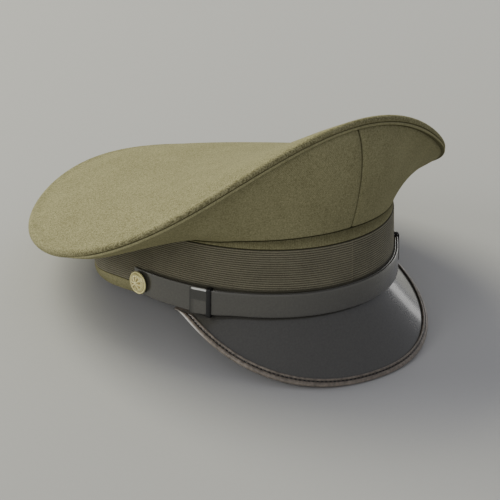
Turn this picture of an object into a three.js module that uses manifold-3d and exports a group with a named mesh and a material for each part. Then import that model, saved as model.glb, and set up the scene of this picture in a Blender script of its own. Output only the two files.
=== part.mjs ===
import * as THREE from "three";
import Module from "manifold-3d";

// Peaked cap, in millimetres. The cap is drawn on its band plane: the front is -Y, the wearer's
// left is +X and +Z is up. Last of all it is tipped to lie on the floor on its peak and its hem.
// A turn is an angle in degrees about the band's centre: 0 at the front, positive to the left.

const wasm = await Module();
wasm.setup();

// Fit between neighbouring pieces
const GAP = 0.3;
const STEP_TURN = 5;

// Head band
const BAND_HALF_LENGTH = 103;
const BAND_HALF_WIDTH = 87.2;
const BAND_SQUARENESS = 2.08;
const BAND_FRONT_NARROWING = 0.05;
const BRAID_TOP = 46.5;
const BAND_LEAN_IN = 0.75;
const CLOTH_WALL = 2.0;
const HEM_SWELL = 0.6;
const BRAID_THICKNESS = 0.9;
const STRIP_HEIGHT = 7.8;
const REAR_DROP = 10.5;
const HEM_HEIGHT = 7.6;
const HEM_RAISE = 3.2;
const WELT_HEIGHT = 1.9;

// Rim of the crown top, as waves around the turn
const RIM_HALF_WIDTH = 132.7;
const RIM_HALF_LENGTH = 126.3;
const RIM_SET_BACK = 18.6;
const RIM_MEAN_HEIGHT = 53.0;
const RIM_SWEEP = 42.8;
const EDGE_ROLL_RADIUS = 3.0;

// Crown cloth
const TOP_WALL = 1.4;
const PANEL_WALL = 1.2;
const TOP_LIFT = 2.0;
const TOP_SWELL = 9.5;
const FRONT_SEAM = 0.3;
const WELT_INSET = 1.0;
const WELT_SWELL = 0.4;
const PANEL_INSET = 0.3;
const TUCK_OUT = 0.6;
const TRIM_REACH = 9.0;
const TRIM_INSET = 3.4;

// Peak
const PEAK_HALF_TURN = 71.4;
const PEAK_DEPTH = 44.9;
const PEAK_SLOPE = 50.9;
const PEAK_SLOPE_FALL = 16.6;
const PEAK_ROOT_HEIGHT = 3.5;
const PEAK_ROOT_OUT = 0.4;
const PEAK_TUCK_IN = 3.0;
const PEAK_WALL = 1.8;
const BINDING_WIDTH = 4.2;
const BINDING_WALL = 0.9;
const BINDING_ROUND = 0.7;
const CUTTER_REACH = 4.0;

// Chin strap
const STRAP_THICKNESS = 1.1;
const STRAP_TOP = 18.8;
const STRAP_WIDTH = 15.2;
const STRAP_EDGE = 0.5;
const STRAP_EDGE_FALL = 0.4;
const STRAP_END_TURN = 88.5;
const OVERLAP_END_TURN = 63.7;
const SETTLE_START = 2;
const SETTLE_END = 14;
const KEEPER_TURN = 56.3;
const KEEPER_LIFT_TURN = 6;
const KEEPER_WIDTH = 2.9;
const KEEPER_HEIGHT = 19.0;
const KEEPER_WALL = 0.9;
const KEEPER_SAG = 0.7;

// Side button
const BUTTON_TURN = 85.5;
const BUTTON_HEIGHT = 10.9;
const BUTTON_RADIUS = 7.3;
const BUTTON_DEPTH = 5.2;

// Depth of the flats where the hem and the peak lie on the floor
const REST_FLAT = 0.5;

// Shares of the sizes above against the turn from the front. Raise is how far the hem's lower
// edge lies up behind the strap.
const BAND_SHAPE = [
  { turn: 0, strip: 1.0, drop: 0.0, hem: 0.6, raise: 0.0 },
  { turn: 15, strip: 0.95, drop: 0.0, hem: 0.65, raise: 0.0 },
  { turn: 30, strip: 0.8, drop: 0.0, hem: 0.7, raise: 0.0 },
  { turn: 45, strip: 0.59, drop: 0.0, hem: 0.8, raise: 0.0 },
  { turn: 55, strip: 0.31, drop: 0.0, hem: 0.9, raise: 0.3 },
  { turn: 65, strip: 0.15, drop: 0.0, hem: 0.95, raise: 0.9 },
  { turn: 76, strip: 0.14, drop: 0.0, hem: 0.98, raise: 1.0 },
  { turn: 88, strip: 0.13, drop: 0.0, hem: 1.0, raise: 0.25 },
  { turn: 98, strip: 0.13, drop: 0.17, hem: 0.97, raise: 0.0 },
  { turn: 105, strip: 0.13, drop: 0.37, hem: 0.93, raise: 0.0 },
  { turn: 113, strip: 0.13, drop: 0.53, hem: 0.75, raise: 0.0 },
  { turn: 121, strip: 0.13, drop: 0.65, hem: 0.58, raise: 0.0 },
  { turn: 150, strip: 0.13, drop: 0.9, hem: 0.55, raise: 0.0 },
  { turn: 180, strip: 0.13, drop: 1.0, hem: 0.55, raise: 0.0 },
];

// Waves of the rim: the number of waves, then shares for its width, length and height
const RIM_WAVES = [
  { waves: 1, width: 1.0, length: -1.0, height: 1.0 },
  { waves: 2, width: 0.058, length: 0.0, height: 0.488 },
  { waves: 3, width: -0.01, length: -0.01, height: 0.128 },
  { waves: 4, width: 0.0, length: 0.0, height: 0.046 },
];

// How a side panel leaves the band and meets the rim: its pull as a share of the straight span
// between them, and the lean of that pull in degrees above level, counted outwards. Tuck is how far
// the panel's edge lies under the welt, in panel walls.
const PANEL_SHAPE = [
  { turn: 0, lowPull: 0.28, lowLean: 69.5, highPull: 0.26, highLean: -49.4, tuck: -1.0 },
  { turn: 30, lowPull: 0.26, lowLean: 73.5, highPull: 0.34, highLean: -118.7, tuck: -1.0 },
  { turn: 60, lowPull: 0.26, lowLean: 33.2, highPull: 0.39, highLean: -150.9, tuck: -0.5 },
  { turn: 90, lowPull: 0.32, lowLean: -4.5, highPull: 0.38, highLean: -155.0, tuck: 0.3 },
  { turn: 120, lowPull: 0.4, lowLean: -34.5, highPull: 0.36, highLean: -167.0, tuck: 1.1 },
  { turn: 150, lowPull: 0.42, lowLean: -38.0, highPull: 0.34, highLean: -170.0, tuck: 1.2 },
  { turn: 180, lowPull: 0.42, lowLean: -38.0, highPull: 0.32, highLean: -172.0, tuck: 1.2 },
];

// Roll at the rim: its radius as a share of the edge roll
const ROLL_SHAPE = [
  { turn: 0, radius: 0.72 },
  { turn: 25, radius: 0.75 },
  { turn: 50, radius: 0.95 },
  { turn: 90, radius: 1.0 },
  { turn: 180, radius: 1.0 },
];

// Lower edge of the strap: how far it hangs under its plain line, as a share of its thickness
const STRAP_HANG = [
  { turn: 0, hang: 0.0 },
  { turn: 45, hang: 0.0 },
  { turn: 56, hang: 0.9 },
  { turn: 62, hang: 1.6 },
  { turn: 70, hang: 0.0 },
  { turn: 90, hang: 0.0 },
];

const radians = (degrees) => THREE.MathUtils.degToRad(degrees);
const vector = (x, y, z) => new THREE.Vector3(x, y, z);

// Smooth curve through one column of a table, with no overshoot between its rows
function column(table, name, turn) {
  let at = Math.abs(turn) % 360;
  if (at > 180) at = 360 - at;
  const last = table.length - 1;
  if (at >= table[last].turn) return table[last][name];
  let row = 0;
  while (at > table[row + 1].turn) row++;
  const rise = (i) =>
    (table[i + 1][name] - table[i][name]) / (table[i + 1].turn - table[i].turn);
  const slope = (i) => {
    if (i <= 0 || i >= last) return 0;
    const before = rise(i - 1);
    const after = rise(i);
    return before * after <= 0 ? 0 : (2 * before * after) / (before + after);
  };
  const span = table[row + 1].turn - table[row].turn;
  const t = (at - table[row].turn) / span;
  const keep = (1 + 2 * t) * (1 - t) * (1 - t);
  const lead = t * (1 - t) * (1 - t) * span;
  const tail = -t * t * (1 - t) * span;
  return (
    table[row][name] * keep +
    table[row + 1][name] * (1 - keep) +
    slope(row) * lead +
    slope(row + 1) * tail
  );
}

// Evenly spaced turns from one end to the other, both ends included
function turnsBetween(from, to, step = STEP_TURN) {
  const count = Math.max(1, Math.round(Math.abs(to - from) / step));
  return Array.from({ length: count + 1 }, (_, i) => from + ((to - from) * i) / count);
}

const fullTurn = turnsBetween(-180, 180 - STEP_TURN);

// Oval of the band seen from above, and the direction out of it
function bandOval(turn) {
  const s = Math.sin(radians(turn));
  const c = Math.cos(radians(turn));
  const power = 2 / BAND_SQUARENESS;
  const narrowing = 1 - BAND_FRONT_NARROWING * c;
  return vector(
    BAND_HALF_WIDTH * Math.sign(s) * Math.abs(s) ** power * narrowing,
    -BAND_HALF_LENGTH * Math.sign(c) * Math.abs(c) ** power,
    0,
  );
}

function bandOut(turn) {
  const along = bandOval(turn + 0.2).sub(bandOval(turn - 0.2));
  return vector(along.y, -along.x, 0).multiplyScalar(-1).normalize().negate();
}

// Point on the band: how far out of the oval, how high over its plane, with the rear drop
function onBand(turn, out, height) {
  const lean = (BAND_LEAN_IN * height) / BRAID_TOP;
  const drop = REAR_DROP * column(BAND_SHAPE, "drop", turn);
  const point = bandOval(turn).addScaledVector(bandOut(turn), out - lean);
  return point.setZ(height - drop);
}

const stripHeight = (turn) => STRIP_HEIGHT * column(BAND_SHAPE, "strip", turn);
const bandTop = (turn) => BRAID_TOP + stripHeight(turn);
const hemTop = (turn) => HEM_HEIGHT * column(BAND_SHAPE, "hem", turn);
const hemFoot = (turn) => HEM_RAISE * column(BAND_SHAPE, "raise", turn);

// Centre line of the roll at the crown's rim. A share under 1 runs in from the rim to the middle.
function onRim(turn, share = 1) {
  const point = vector(0, RIM_SET_BACK, RIM_MEAN_HEIGHT);
  for (const { waves, width, length, height } of RIM_WAVES) {
    const reach = share ** waves;
    const angle = radians(waves * turn);
    point.x += RIM_HALF_WIDTH * width * reach * Math.sin(angle);
    point.y += RIM_HALF_LENGTH * length * reach * Math.cos(angle);
    point.z += RIM_SWEEP * height * reach * Math.cos(angle);
  }
  return point;
}

// Directions at the rim: out of the crown on the level, and down square to the rim
function rimFrame(turn) {
  const along = onRim(turn + 0.2).sub(onRim(turn - 0.2)).normalize();
  const out = vector(along.y, -along.x, 0).normalize();
  const down = vector(0, 0, 0).crossVectors(out, along).normalize();
  if (down.z > 0) down.negate();
  return { out, down };
}

// The rolled edge ends, and the welt starts, at shares of the roll's radius
const ROLL_FOOT_SHARE = 0.707;
const WELT_SHARE = 0.66;

const rollRadius = (turn) => EDGE_ROLL_RADIUS * column(ROLL_SHAPE, "radius", turn);
const rollFoot = (turn) => ROLL_FOOT_SHARE * rollRadius(turn);

function nearRim(turn, out, down) {
  const frame = rimFrame(turn);
  return onRim(turn).addScaledVector(frame.out, out).addScaledVector(frame.down, down);
}

// Upper face of the crown top between its middle and its rim
function onTop(turn, share) {
  const point = onRim(turn, share);
  point.z += TOP_LIFT + TOP_SWELL * (1 - share ** 4);
  return point;
}

// Turns lists of triangles into a closed geometry that faces out
function geometryOf(points, triangles) {
  const geometry = new THREE.BufferGeometry();
  const flat = points.flatMap((p) => [p.x, p.y, p.z]);
  let volume = 0;
  for (const [a, b, c] of triangles) {
    const cross = points[b].clone().cross(points[c]);
    volume += points[a].dot(cross);
  }
  const facing = volume > 0 ? triangles : triangles.map(([a, b, c]) => [a, c, b]);
  geometry.setAttribute("position", new THREE.Float32BufferAttribute(flat, 3));
  geometry.setIndex(facing.flat());
  geometry.computeVertexNormals();
  return geometry;
}

// Skin over closed sections, each a near and a far chain of points of the same length. A ring
// joins its last section to its first, a strip gets a face at each end.
function loft(sections, ring) {
  const half = sections[0].near.length;
  const loops = sections.map(({ near, far }) => [...near, ...[...far].reverse()]);
  const size = 2 * half;
  const points = loops.flat();
  const triangles = [];
  const lastRow = ring ? loops.length : loops.length - 1;
  for (let i = 0; i < lastRow; i++) {
    const row = i * size;
    const next = ((i + 1) % loops.length) * size;
    for (let j = 0; j < size; j++) {
      const k = (j + 1) % size;
      triangles.push([row + j, next + j, next + k], [row + j, next + k, row + k]);
    }
  }
  if (!ring) {
    const end = (loops.length - 1) * size;
    for (let j = 0; j < half - 1; j++) {
      const a = j;
      const b = j + 1;
      const c = size - 2 - j;
      const d = size - 1 - j;
      triangles.push([a, b, c], [a, c, d]);
      triangles.push([end + a, end + c, end + b], [end + a, end + d, end + c]);
    }
  }
  return geometryOf(points, triangles);
}

// Skin over open chains that all start at one pole point and end at another
function shell(chains, firstPole, lastPole) {
  const size = chains[0].length;
  const points = [...chains.flat(), firstPole, lastPole];
  const first = points.length - 2;
  const final = points.length - 1;
  const triangles = [];
  chains.forEach((_, i) => {
    const row = i * size;
    const next = ((i + 1) % chains.length) * size;
    triangles.push([first, next, row], [final, row + size - 1, next + size - 1]);
    for (let j = 0; j < size - 1; j++) {
      triangles.push([row + j, next + j, next + j + 1], [row + j, next + j + 1, row + j + 1]);
    }
  });
  return geometryOf(points, triangles);
}

// Boolean solids
function solidOf(geometry) {
  return new wasm.Manifold(
    new wasm.Mesh({
      numProp: 3,
      vertProperties: geometry.getAttribute("position").array,
      triVerts: new Uint32Array(geometry.index.array),
    }),
  );
}

function geometryFrom(solid) {
  const mesh = solid.getMesh();
  const geometry = new THREE.BufferGeometry();
  const places = new Float32Array(mesh.vertProperties);
  geometry.setAttribute("position", new THREE.BufferAttribute(places, 3));
  geometry.setIndex([...mesh.triVerts]);
  geometry.computeVertexNormals();
  return geometry;
}

// Crown top: one sheet of cloth from its middle to a rolled edge
function crownTop() {
  const topShares = [0.28, 0.54, 0.77, 0.955];
  const rollTurns = [98, 58, 18, -20, -48, -135, -172];
  const underShares = [0.945, 0.68, 0.36];
  const chains = fullTurn.map((turn) => {
    const radius = rollRadius(turn);
    const roll = rollTurns.map((angle) =>
      nearRim(turn, radius * Math.cos(radians(angle)), -radius * Math.sin(radians(angle))),
    );
    const under = underShares.map((share) => onTop(turn, share).add(vector(0, 0, -TOP_WALL)));
    return [...topShares.map((share) => onTop(turn, share)), ...roll, ...under];
  });
  const middle = onTop(0, 0);
  return shell(chains, middle, middle.clone().add(vector(0, 0, -TOP_WALL)));
}

// Thin welt between the rolled edge and the side panels
function rimWelt() {
  const sections = fullTurn.map((turn) => {
    const start = rollFoot(turn) + GAP;
    const face = rollRadius(turn) * WELT_SHARE;
    const near = [
      nearRim(turn, -WELT_INSET, start),
      nearRim(turn, face, start),
      nearRim(turn, face + WELT_SWELL, start + WELT_HEIGHT / 2),
    ];
    const far = [
      nearRim(turn, -WELT_INSET, start + WELT_HEIGHT),
      nearRim(turn, face - WELT_SWELL, start + WELT_HEIGHT),
      nearRim(turn, face, start + WELT_HEIGHT),
    ];
    return { near, far };
  });
  return loft(sections, true);
}

// Depth under the rim's centre line where the side panels start, under the welt
const seamDepth = (turn) => rollFoot(turn) + WELT_HEIGHT + 2 * GAP;

// Room of the rolled edge and the welt, which trims the side panels square to the rim
function rimRoom() {
  const sections = fullTurn.map((turn) => ({
    near: [
      nearRim(turn, TRIM_REACH, -TRIM_REACH),
      nearRim(turn, TRIM_REACH, seamDepth(turn)),
    ],
    far: [
      nearRim(turn, -TRIM_INSET, -TRIM_REACH),
      nearRim(turn, -TRIM_INSET, seamDepth(turn)),
    ],
  }));
  return loft(sections, true);
}

// Outer face of the side panels: a share of 0 is at the band and 1 at the rim
function onPanel(turn, share) {
  const low = onBand(turn, HEM_SWELL, bandTop(turn) + GAP);
  const tuck = column(PANEL_SHAPE, "tuck", turn);
  const depth = seamDepth(turn) + tuck * PANEL_WALL;
  const high = nearRim(turn, PANEL_INSET + TUCK_OUT * tuck, depth);
  const span = low.distanceTo(high);
  const lean = (from, out, pull, angle) =>
    from
      .clone()
      .addScaledVector(out, span * pull * Math.cos(radians(angle)))
      .add(vector(0, 0, span * pull * Math.sin(radians(angle))));
  const read = (name) => column(PANEL_SHAPE, name, turn);
  const lowPull = lean(low, bandOut(turn), read("lowPull"), read("lowLean"));
  const highPull = lean(high, rimFrame(turn).out, read("highPull"), read("highLean"));
  const back = 1 - share;
  return low
    .multiplyScalar(back * back * back)
    .addScaledVector(lowPull, 3 * back * back * share)
    .addScaledVector(highPull, 3 * back * share * share)
    .addScaledVector(high, share * share * share);
}

function panelInside(turn, share) {
  const step = 0.004;
  const above = onPanel(turn, Math.min(share + step, 1));
  const up = above.sub(onPanel(turn, Math.max(share - step, 0)));
  const along = onPanel(turn + 0.2, share).sub(onPanel(turn - 0.2, share));
  const inward = vector(0, 0, 0).crossVectors(up, along).normalize();
  return onPanel(turn, share).addScaledVector(inward, PANEL_WALL);
}

// One side panel, from the front seam to the rear seam
function sidePanel(side) {
  const shares = turnsBetween(0, 1, 1 / 6);
  const front = FRONT_SEAM / 2 / radians(1) / BAND_HALF_LENGTH;
  const turns = turnsBetween(front, 180 - front);
  const sections = turns.map((turn) => ({
    near: shares.map((share) => onPanel(side * turn, share)),
    far: shares.map((share) => panelInside(side * turn, share)),
  }));
  return geometryFrom(solidOf(loft(sections, false)).subtract(solidOf(rimRoom())));
}

// Cloth band with a hem swelling under the braid and a strip above it
function headBand() {
  const sections = fullTurn.map((turn) => {
    const hem = hemTop(turn);
    const top = bandTop(turn);
    const inner = [hemFoot(turn), hem - GAP, hem, BRAID_TOP, BRAID_TOP + GAP, top];
    const outer = [HEM_SWELL, HEM_SWELL, 0, 0, HEM_SWELL, HEM_SWELL];
    return {
      near: inner.map((height, i) => onBand(turn, outer[i], height)),
      far: inner.map((height) => onBand(turn, -CLOTH_WALL, height)),
    };
  });
  return loft(sections, true);
}

// Ribbed braid laid round the band
function braid() {
  const sections = fullTurn.map((turn) => {
    const heights = [hemTop(turn) + GAP, BRAID_TOP - GAP];
    return {
      near: heights.map((height) => onBand(turn, GAP + BRAID_THICKNESS, height)),
      far: heights.map((height) => onBand(turn, GAP, height)),
    };
  });
  return loft(sections, true);
}

// Peak: rulings that leave the hem's face and slope down to the edge. The edge is placed from the
// band's lower corner; its depth falls to nothing at the peak's two corners, by these powers.
const DEPTH_POWER = 2.54;
const CORNER_POWER = 1.35;

function peakRuling(turn) {
  const share = Math.min(Math.abs(turn) / PEAK_HALF_TURN, 1);
  const slope = radians(PEAK_SLOPE - PEAK_SLOPE_FALL * share * share);
  const depthShare = (1 - share ** DEPTH_POWER) ** CORNER_POWER;
  const fall = bandOut(turn).multiplyScalar(Math.cos(slope)).setZ(-Math.sin(slope));
  const edge = onBand(turn, PEAK_ROOT_OUT, 0).addScaledVector(fall, PEAK_DEPTH * depthShare);
  const rootShare = 1 - (1 - depthShare) ** 2;
  const base = onBand(turn, PEAK_ROOT_OUT, PEAK_ROOT_HEIGHT * rootShare);
  const span = edge.clone().sub(base);
  const length = span.length();
  const run = length > 0 ? span.normalize() : fall;
  return { base, run, length };
}

function onPeak(turn, reach) {
  const ruling = peakRuling(turn);
  return ruling.base.clone().addScaledVector(ruling.run, reach);
}

// Direction out of the peak's upper face
function peakOut(turn) {
  const { run } = peakRuling(turn);
  const reach = PEAK_DEPTH / 6;
  const along = onPeak(turn + 0.3, reach).sub(onPeak(turn - 0.3, reach));
  const out = vector(0, 0, 0).crossVectors(along, run).normalize();
  return out.z < 0 ? out.negate() : out;
}

function peakSheet(over, under) {
  const turns = turnsBetween(-PEAK_HALF_TURN, PEAK_HALF_TURN);
  const sections = turns.map((turn) => {
    const { length } = peakRuling(turn);
    const out = peakOut(turn);
    const reaches = [-PEAK_TUCK_IN, length * 0.33, length * 0.66, length];
    const far = reaches.map((reach) => onPeak(turn, reach).addScaledVector(out, -under));
    const near = reaches.map((reach) => onPeak(turn, reach).addScaledVector(out, over));
    return { near, far };
  });
  return loft(sections, false);
}

// Bar that follows the peak's edge, between two depths in from it
function edgeBar(outer, inner, over, under, rounded) {
  const turns = turnsBetween(-PEAK_HALF_TURN, PEAK_HALF_TURN);
  const edge = (turn) => {
    const { length } = peakRuling(turn);
    return onPeak(turn, length);
  };
  const sections = turns.map((turn) => {
    const next = Math.min(turn + 0.5, PEAK_HALF_TURN);
    const prior = Math.max(turn - 0.5, -PEAK_HALF_TURN);
    const along = edge(next).sub(edge(prior)).normalize();
    const out = peakOut(turn);
    const inward = vector(0, 0, 0).crossVectors(along, out).normalize();
    if (inward.dot(peakRuling(turn).run) > 0) inward.negate();
    const at = (depth, height) =>
      edge(turn).addScaledVector(inward, depth).addScaledVector(out, height);
    const round = rounded ? BINDING_ROUND : 0;
    return {
      near: [
        at(inner, over - round / 2),
        at(inner - round, over),
        at(outer + 2 * round, over),
        at(outer, over - 2 * round),
      ],
      far: [
        at(inner, -under + round / 2),
        at(inner - round, -under),
        at(outer + 2 * round, -under),
        at(outer, -under + 2 * round),
      ],
    };
  });
  return loft(sections, false);
}

// The floor under the cap: it touches the hem at the rear and the peak's edge at the front
function floorPlane(lowest) {
  const rear = onBand(180, HEM_SWELL, 0);
  const front = lowest;
  const tilt = Math.atan2(rear.z - front.z, rear.y - front.y);
  const normal = vector(0, -Math.sin(tilt), Math.cos(tilt));
  return { tilt, normal, height: normal.dot(rear) };
}

// Lowest corner of the bound edge at the front
const edgeDepth = PEAK_WALL + BINDING_WALL + GAP - 2 * BINDING_ROUND;
const frontEdge = onPeak(0, peakRuling(0).length);
const floor = floorPlane(frontEdge.addScaledVector(peakOut(0), -edgeDepth));

// Keeps what is above a plane, given by its normal and its height along it
const above = (solid, normal, height) => solid.trimByPlane(normal.toArray(), height);

// Room of the head band, which the peak's root is set against
function bandRoom() {
  const heights = [-GAP, BRAID_TOP / 2];
  const sections = fullTurn.map((turn) => ({
    near: heights.map((height) => onBand(turn, HEM_SWELL + GAP, height)),
    far: heights.map((height) => onBand(turn, -TRIM_REACH, height)),
  }));
  return loft(sections, true);
}

function peakPieces() {
  const cover = GAP + BINDING_WALL;
  const cutter = (inner) => solidOf(edgeBar(-CUTTER_REACH, inner, CUTTER_REACH, CUTTER_REACH, false));
  const sheet = solidOf(peakSheet(0, PEAK_WALL));
  const peak = sheet.subtract(cutter(cover)).subtract(solidOf(bandRoom()));
  const slot = solidOf(peakSheet(GAP, PEAK_WALL + GAP)).subtract(cutter(BINDING_WALL));
  const bar = solidOf(edgeBar(0, BINDING_WIDTH, cover, PEAK_WALL + cover, true));
  const binding = above(bar.subtract(slot), vector(0, 0, -1), GAP);
  const rested = above(binding, floor.normal, floor.height + REST_FLAT);
  return { peak: geometryFrom(peak), binding: geometryFrom(rested) };
}

// Chin strap
const keeperLift = (turn) => {
  const away = (Math.abs(turn) - KEEPER_TURN) / KEEPER_LIFT_TURN;
  return (KEEPER_WALL + GAP) * Math.exp(-away * away);
};
const strapBack = (turn) => GAP + BRAID_THICKNESS + GAP + keeperLift(turn);

function strapSection(turn, back) {
  const hang = STRAP_THICKNESS * column(STRAP_HANG, "hang", turn);
  const foot = STRAP_TOP - STRAP_WIDTH - hang;
  const face = back + STRAP_THICKNESS;
  const heights = [foot, foot + STRAP_EDGE, STRAP_TOP - STRAP_EDGE, STRAP_TOP];
  const faces = [face - STRAP_EDGE_FALL, face, face, face - STRAP_EDGE_FALL];
  return {
    near: heights.map((height, i) => onBand(turn, faces[i], height)),
    far: heights.map((height) => onBand(turn, back, height)),
  };
}

function lowerStrap() {
  const turns = turnsBetween(-STRAP_END_TURN, OVERLAP_END_TURN);
  return loft(turns.map((turn) => strapSection(turn, strapBack(turn))), false);
}

function upperStrap() {
  const turns = turnsBetween(-OVERLAP_END_TURN, STRAP_END_TURN);
  const raised = STRAP_THICKNESS + GAP;
  const sections = turns.map((turn) => {
    const past = turn - OVERLAP_END_TURN;
    const settled = THREE.MathUtils.smoothstep(past, SETTLE_START, SETTLE_END);
    return strapSection(turn, strapBack(turn) + raised * (1 - settled));
  });
  return loft(sections, false);
}

// Keeper: a flat loop round both layers of the strap
function keeper(side) {
  const turnHalf = KEEPER_WIDTH / 2 / radians(1) / BAND_HALF_LENGTH;
  const turn = side * KEEPER_TURN;
  const back = strapBack(turn) - GAP - KEEPER_WALL;
  const layers = 2 * STRAP_THICKNESS + 3 * GAP;
  const middle = STRAP_TOP - STRAP_WIDTH / 2 - KEEPER_SAG;
  const box = (from, to, half, widen) => {
    const heights = [middle - half, middle + half];
    const sections = [-turnHalf * widen, turnHalf * widen].map((shift) => ({
      near: heights.map((height) => onBand(turn + shift, to, height)),
      far: heights.map((height) => onBand(turn + shift, from, height)),
    }));
    return solidOf(loft(sections, false));
  };
  const half = KEEPER_HEIGHT / 2;
  const front = back + layers + 2 * KEEPER_WALL;
  const outside = box(back, front, half, 1);
  const inside = box(back + KEEPER_WALL, front - KEEPER_WALL, half - KEEPER_WALL, 2);
  return geometryFrom(outside.subtract(inside));
}

// Domed button with a rolled rim, turned about its own axis
function buttonGeometry() {
  const r = BUTTON_RADIUS;
  const d = BUTTON_DEPTH;
  const profile = [
    [0, 0],
    [r * 0.86, 0],
    [r, d * 0.12],
    [r, d * 0.3],
    [r * 0.93, d * 0.42],
    [r * 0.84, d * 0.4],
    [r * 0.78, d * 0.52],
    [r * 0.6, d * 0.78],
    [r * 0.34, d * 0.95],
    [0, d],
  ];
  const steps = 18;
  const chains = Array.from({ length: steps }, (_, i) => {
    const angle = (i / steps) * Math.PI * 2;
    return profile
      .slice(1, -1)
      .map(([out, along]) => vector(out * Math.cos(angle), out * Math.sin(angle), along));
  });
  return shell(chains, vector(0, 0, 0), vector(0, 0, d));
}

// Colours
const CLOTH = { color: 0x8f8965, roughness: 0.95, metalness: 0 };
const TOP_CLOTH = { color: 0x9c9670, roughness: 0.95, metalness: 0 };
const BRAID = { color: 0x4b4634, roughness: 0.85, metalness: 0 };
const PATENT = { color: 0x14110f, roughness: 0.2, metalness: 0 };
const BINDING = { color: 0x231a14, roughness: 0.45, metalness: 0 };
const GOLD = { color: 0xb08d3f, roughness: 0.3, metalness: 1 };

function piece(name, geometry, look) {
  const mesh = new THREE.Mesh(geometry, new THREE.MeshStandardMaterial(look));
  mesh.name = name;
  return mesh;
}

const crown = new THREE.Group();
crown.name = "crown";
crown.add(piece("crown_top", crownTop(), TOP_CLOTH));
crown.add(piece("rim_welt", rimWelt(), TOP_CLOTH));
crown.add(piece("side_panel_right", sidePanel(-1), CLOTH));
crown.add(piece("side_panel_left", sidePanel(1), CLOTH));

const band = new THREE.Group();
band.name = "band";
const bandSolid = solidOf(headBand());
const restedBand = above(bandSolid, floor.normal, floor.height + REST_FLAT);
band.add(piece("head_band", geometryFrom(restedBand), CLOTH));
band.add(piece("braid_band", braid(), BRAID));

const front = new THREE.Group();
front.name = "front";
const { peak, binding } = peakPieces();
front.add(piece("peak", peak, PATENT));
front.add(piece("peak_binding", binding, BINDING));

const strap = new THREE.Group();
strap.name = "strap";
strap.add(piece("chin_strap_lower", lowerStrap(), PATENT));
strap.add(piece("chin_strap_upper", upperStrap(), PATENT));
strap.add(piece("strap_keeper_right", keeper(-1), PATENT));
strap.add(piece("strap_keeper_left", keeper(1), PATENT));
for (const [name, side] of [["right", -1], ["left", 1]]) {
  const button = piece("button_" + name, buttonGeometry(), GOLD);
  const turn = side * BUTTON_TURN;
  const seat = strapBack(turn) + STRAP_THICKNESS + GAP;
  button.position.copy(onBand(turn, seat, BUTTON_HEIGHT));
  button.quaternion.setFromUnitVectors(vector(0, 0, 1), bandOut(turn));
  strap.add(button);
}

const cap = new THREE.Group();
cap.name = "cap";
cap.add(crown, band, front, strap);
cap.rotation.x = -floor.tilt;

const root = new THREE.Group();
root.name = "peaked_cap";
root.add(cap);
root.updateMatrixWorld(true);
const box = new THREE.Box3().setFromObject(root, true);
cap.position.set(-(box.min.x + box.max.x) / 2, -(box.min.y + box.max.y) / 2, -box.min.z);

export default root;
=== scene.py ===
"""Dresses the solids of a khaki peaked cap with its cloth, braid, leather and gilt."""

import logging
import math
from collections.abc import Callable, Sequence
from dataclasses import dataclass, field
from enum import Enum

import bmesh
import bpy
from mathutils import Matrix, Vector


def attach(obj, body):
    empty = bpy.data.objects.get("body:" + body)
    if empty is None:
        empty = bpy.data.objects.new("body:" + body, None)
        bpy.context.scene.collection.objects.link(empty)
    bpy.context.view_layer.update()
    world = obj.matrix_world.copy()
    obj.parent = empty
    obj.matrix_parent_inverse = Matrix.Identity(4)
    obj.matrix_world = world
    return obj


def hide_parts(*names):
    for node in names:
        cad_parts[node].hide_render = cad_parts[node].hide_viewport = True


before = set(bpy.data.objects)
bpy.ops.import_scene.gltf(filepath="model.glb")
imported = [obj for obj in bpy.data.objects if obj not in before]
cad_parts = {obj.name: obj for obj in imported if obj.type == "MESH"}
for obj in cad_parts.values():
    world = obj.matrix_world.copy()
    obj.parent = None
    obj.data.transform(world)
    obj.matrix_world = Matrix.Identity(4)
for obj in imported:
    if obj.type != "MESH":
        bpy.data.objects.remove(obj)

LOG = logging.getLogger("peaked_cap")

MILLIMETRE = 0.001
MERGE_DISTANCE = 1e-7
CUT_DISTANCE = 1e-6
SHARP_EDGE = math.radians(50)

# Millimetres that several sub-assemblies share
GAP = 0.3
HEM_SWELL = 0.6
BRAID_THICKNESS = 0.9
# Degrees to each side over which a direction round the cap is measured
NEAR_TURN = 0.2
# Share of the rolled edge's radius at which the welt meets it
WELT_SEAT = 0.707
# Share of a short edge that the rounding of its corner may take
ROUNDING_LIMIT = 0.49

BAND_TURNS = (0, 15, 30, 45, 55, 65, 76, 88, 98, 105, 113, 121, 150, 180)
RIM_TURNS = (0, 25, 50, 70, 90, 118, 180)
PANEL_TURNS = (0, 30, 60, 90, 120, 150, 180)

Rows = list[list[Vector]]
Colour = tuple[float, float, float]


class Side(Enum):
    """The wearer's two sides, by the sign of their turns."""

    RIGHT = -1
    LEFT = 1

    @property
    def word(self) -> str:
        """The side in the names of its pieces."""
        return self.name.lower()


class StrapLayer(Enum):
    """The two lengths of the chin strap."""

    LOWER = "chin_strap_lower"
    UPPER = "chin_strap_upper"


class Part(Enum):
    """The material slots of the record, passed along with each piece."""

    CLOTH = "crown_cloth"
    BRAID = "braid"
    PATENT = "patent_leather"
    BINDING = "binding_leather"
    GILT = "gilt_metal"


# Curves of the cap


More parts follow.
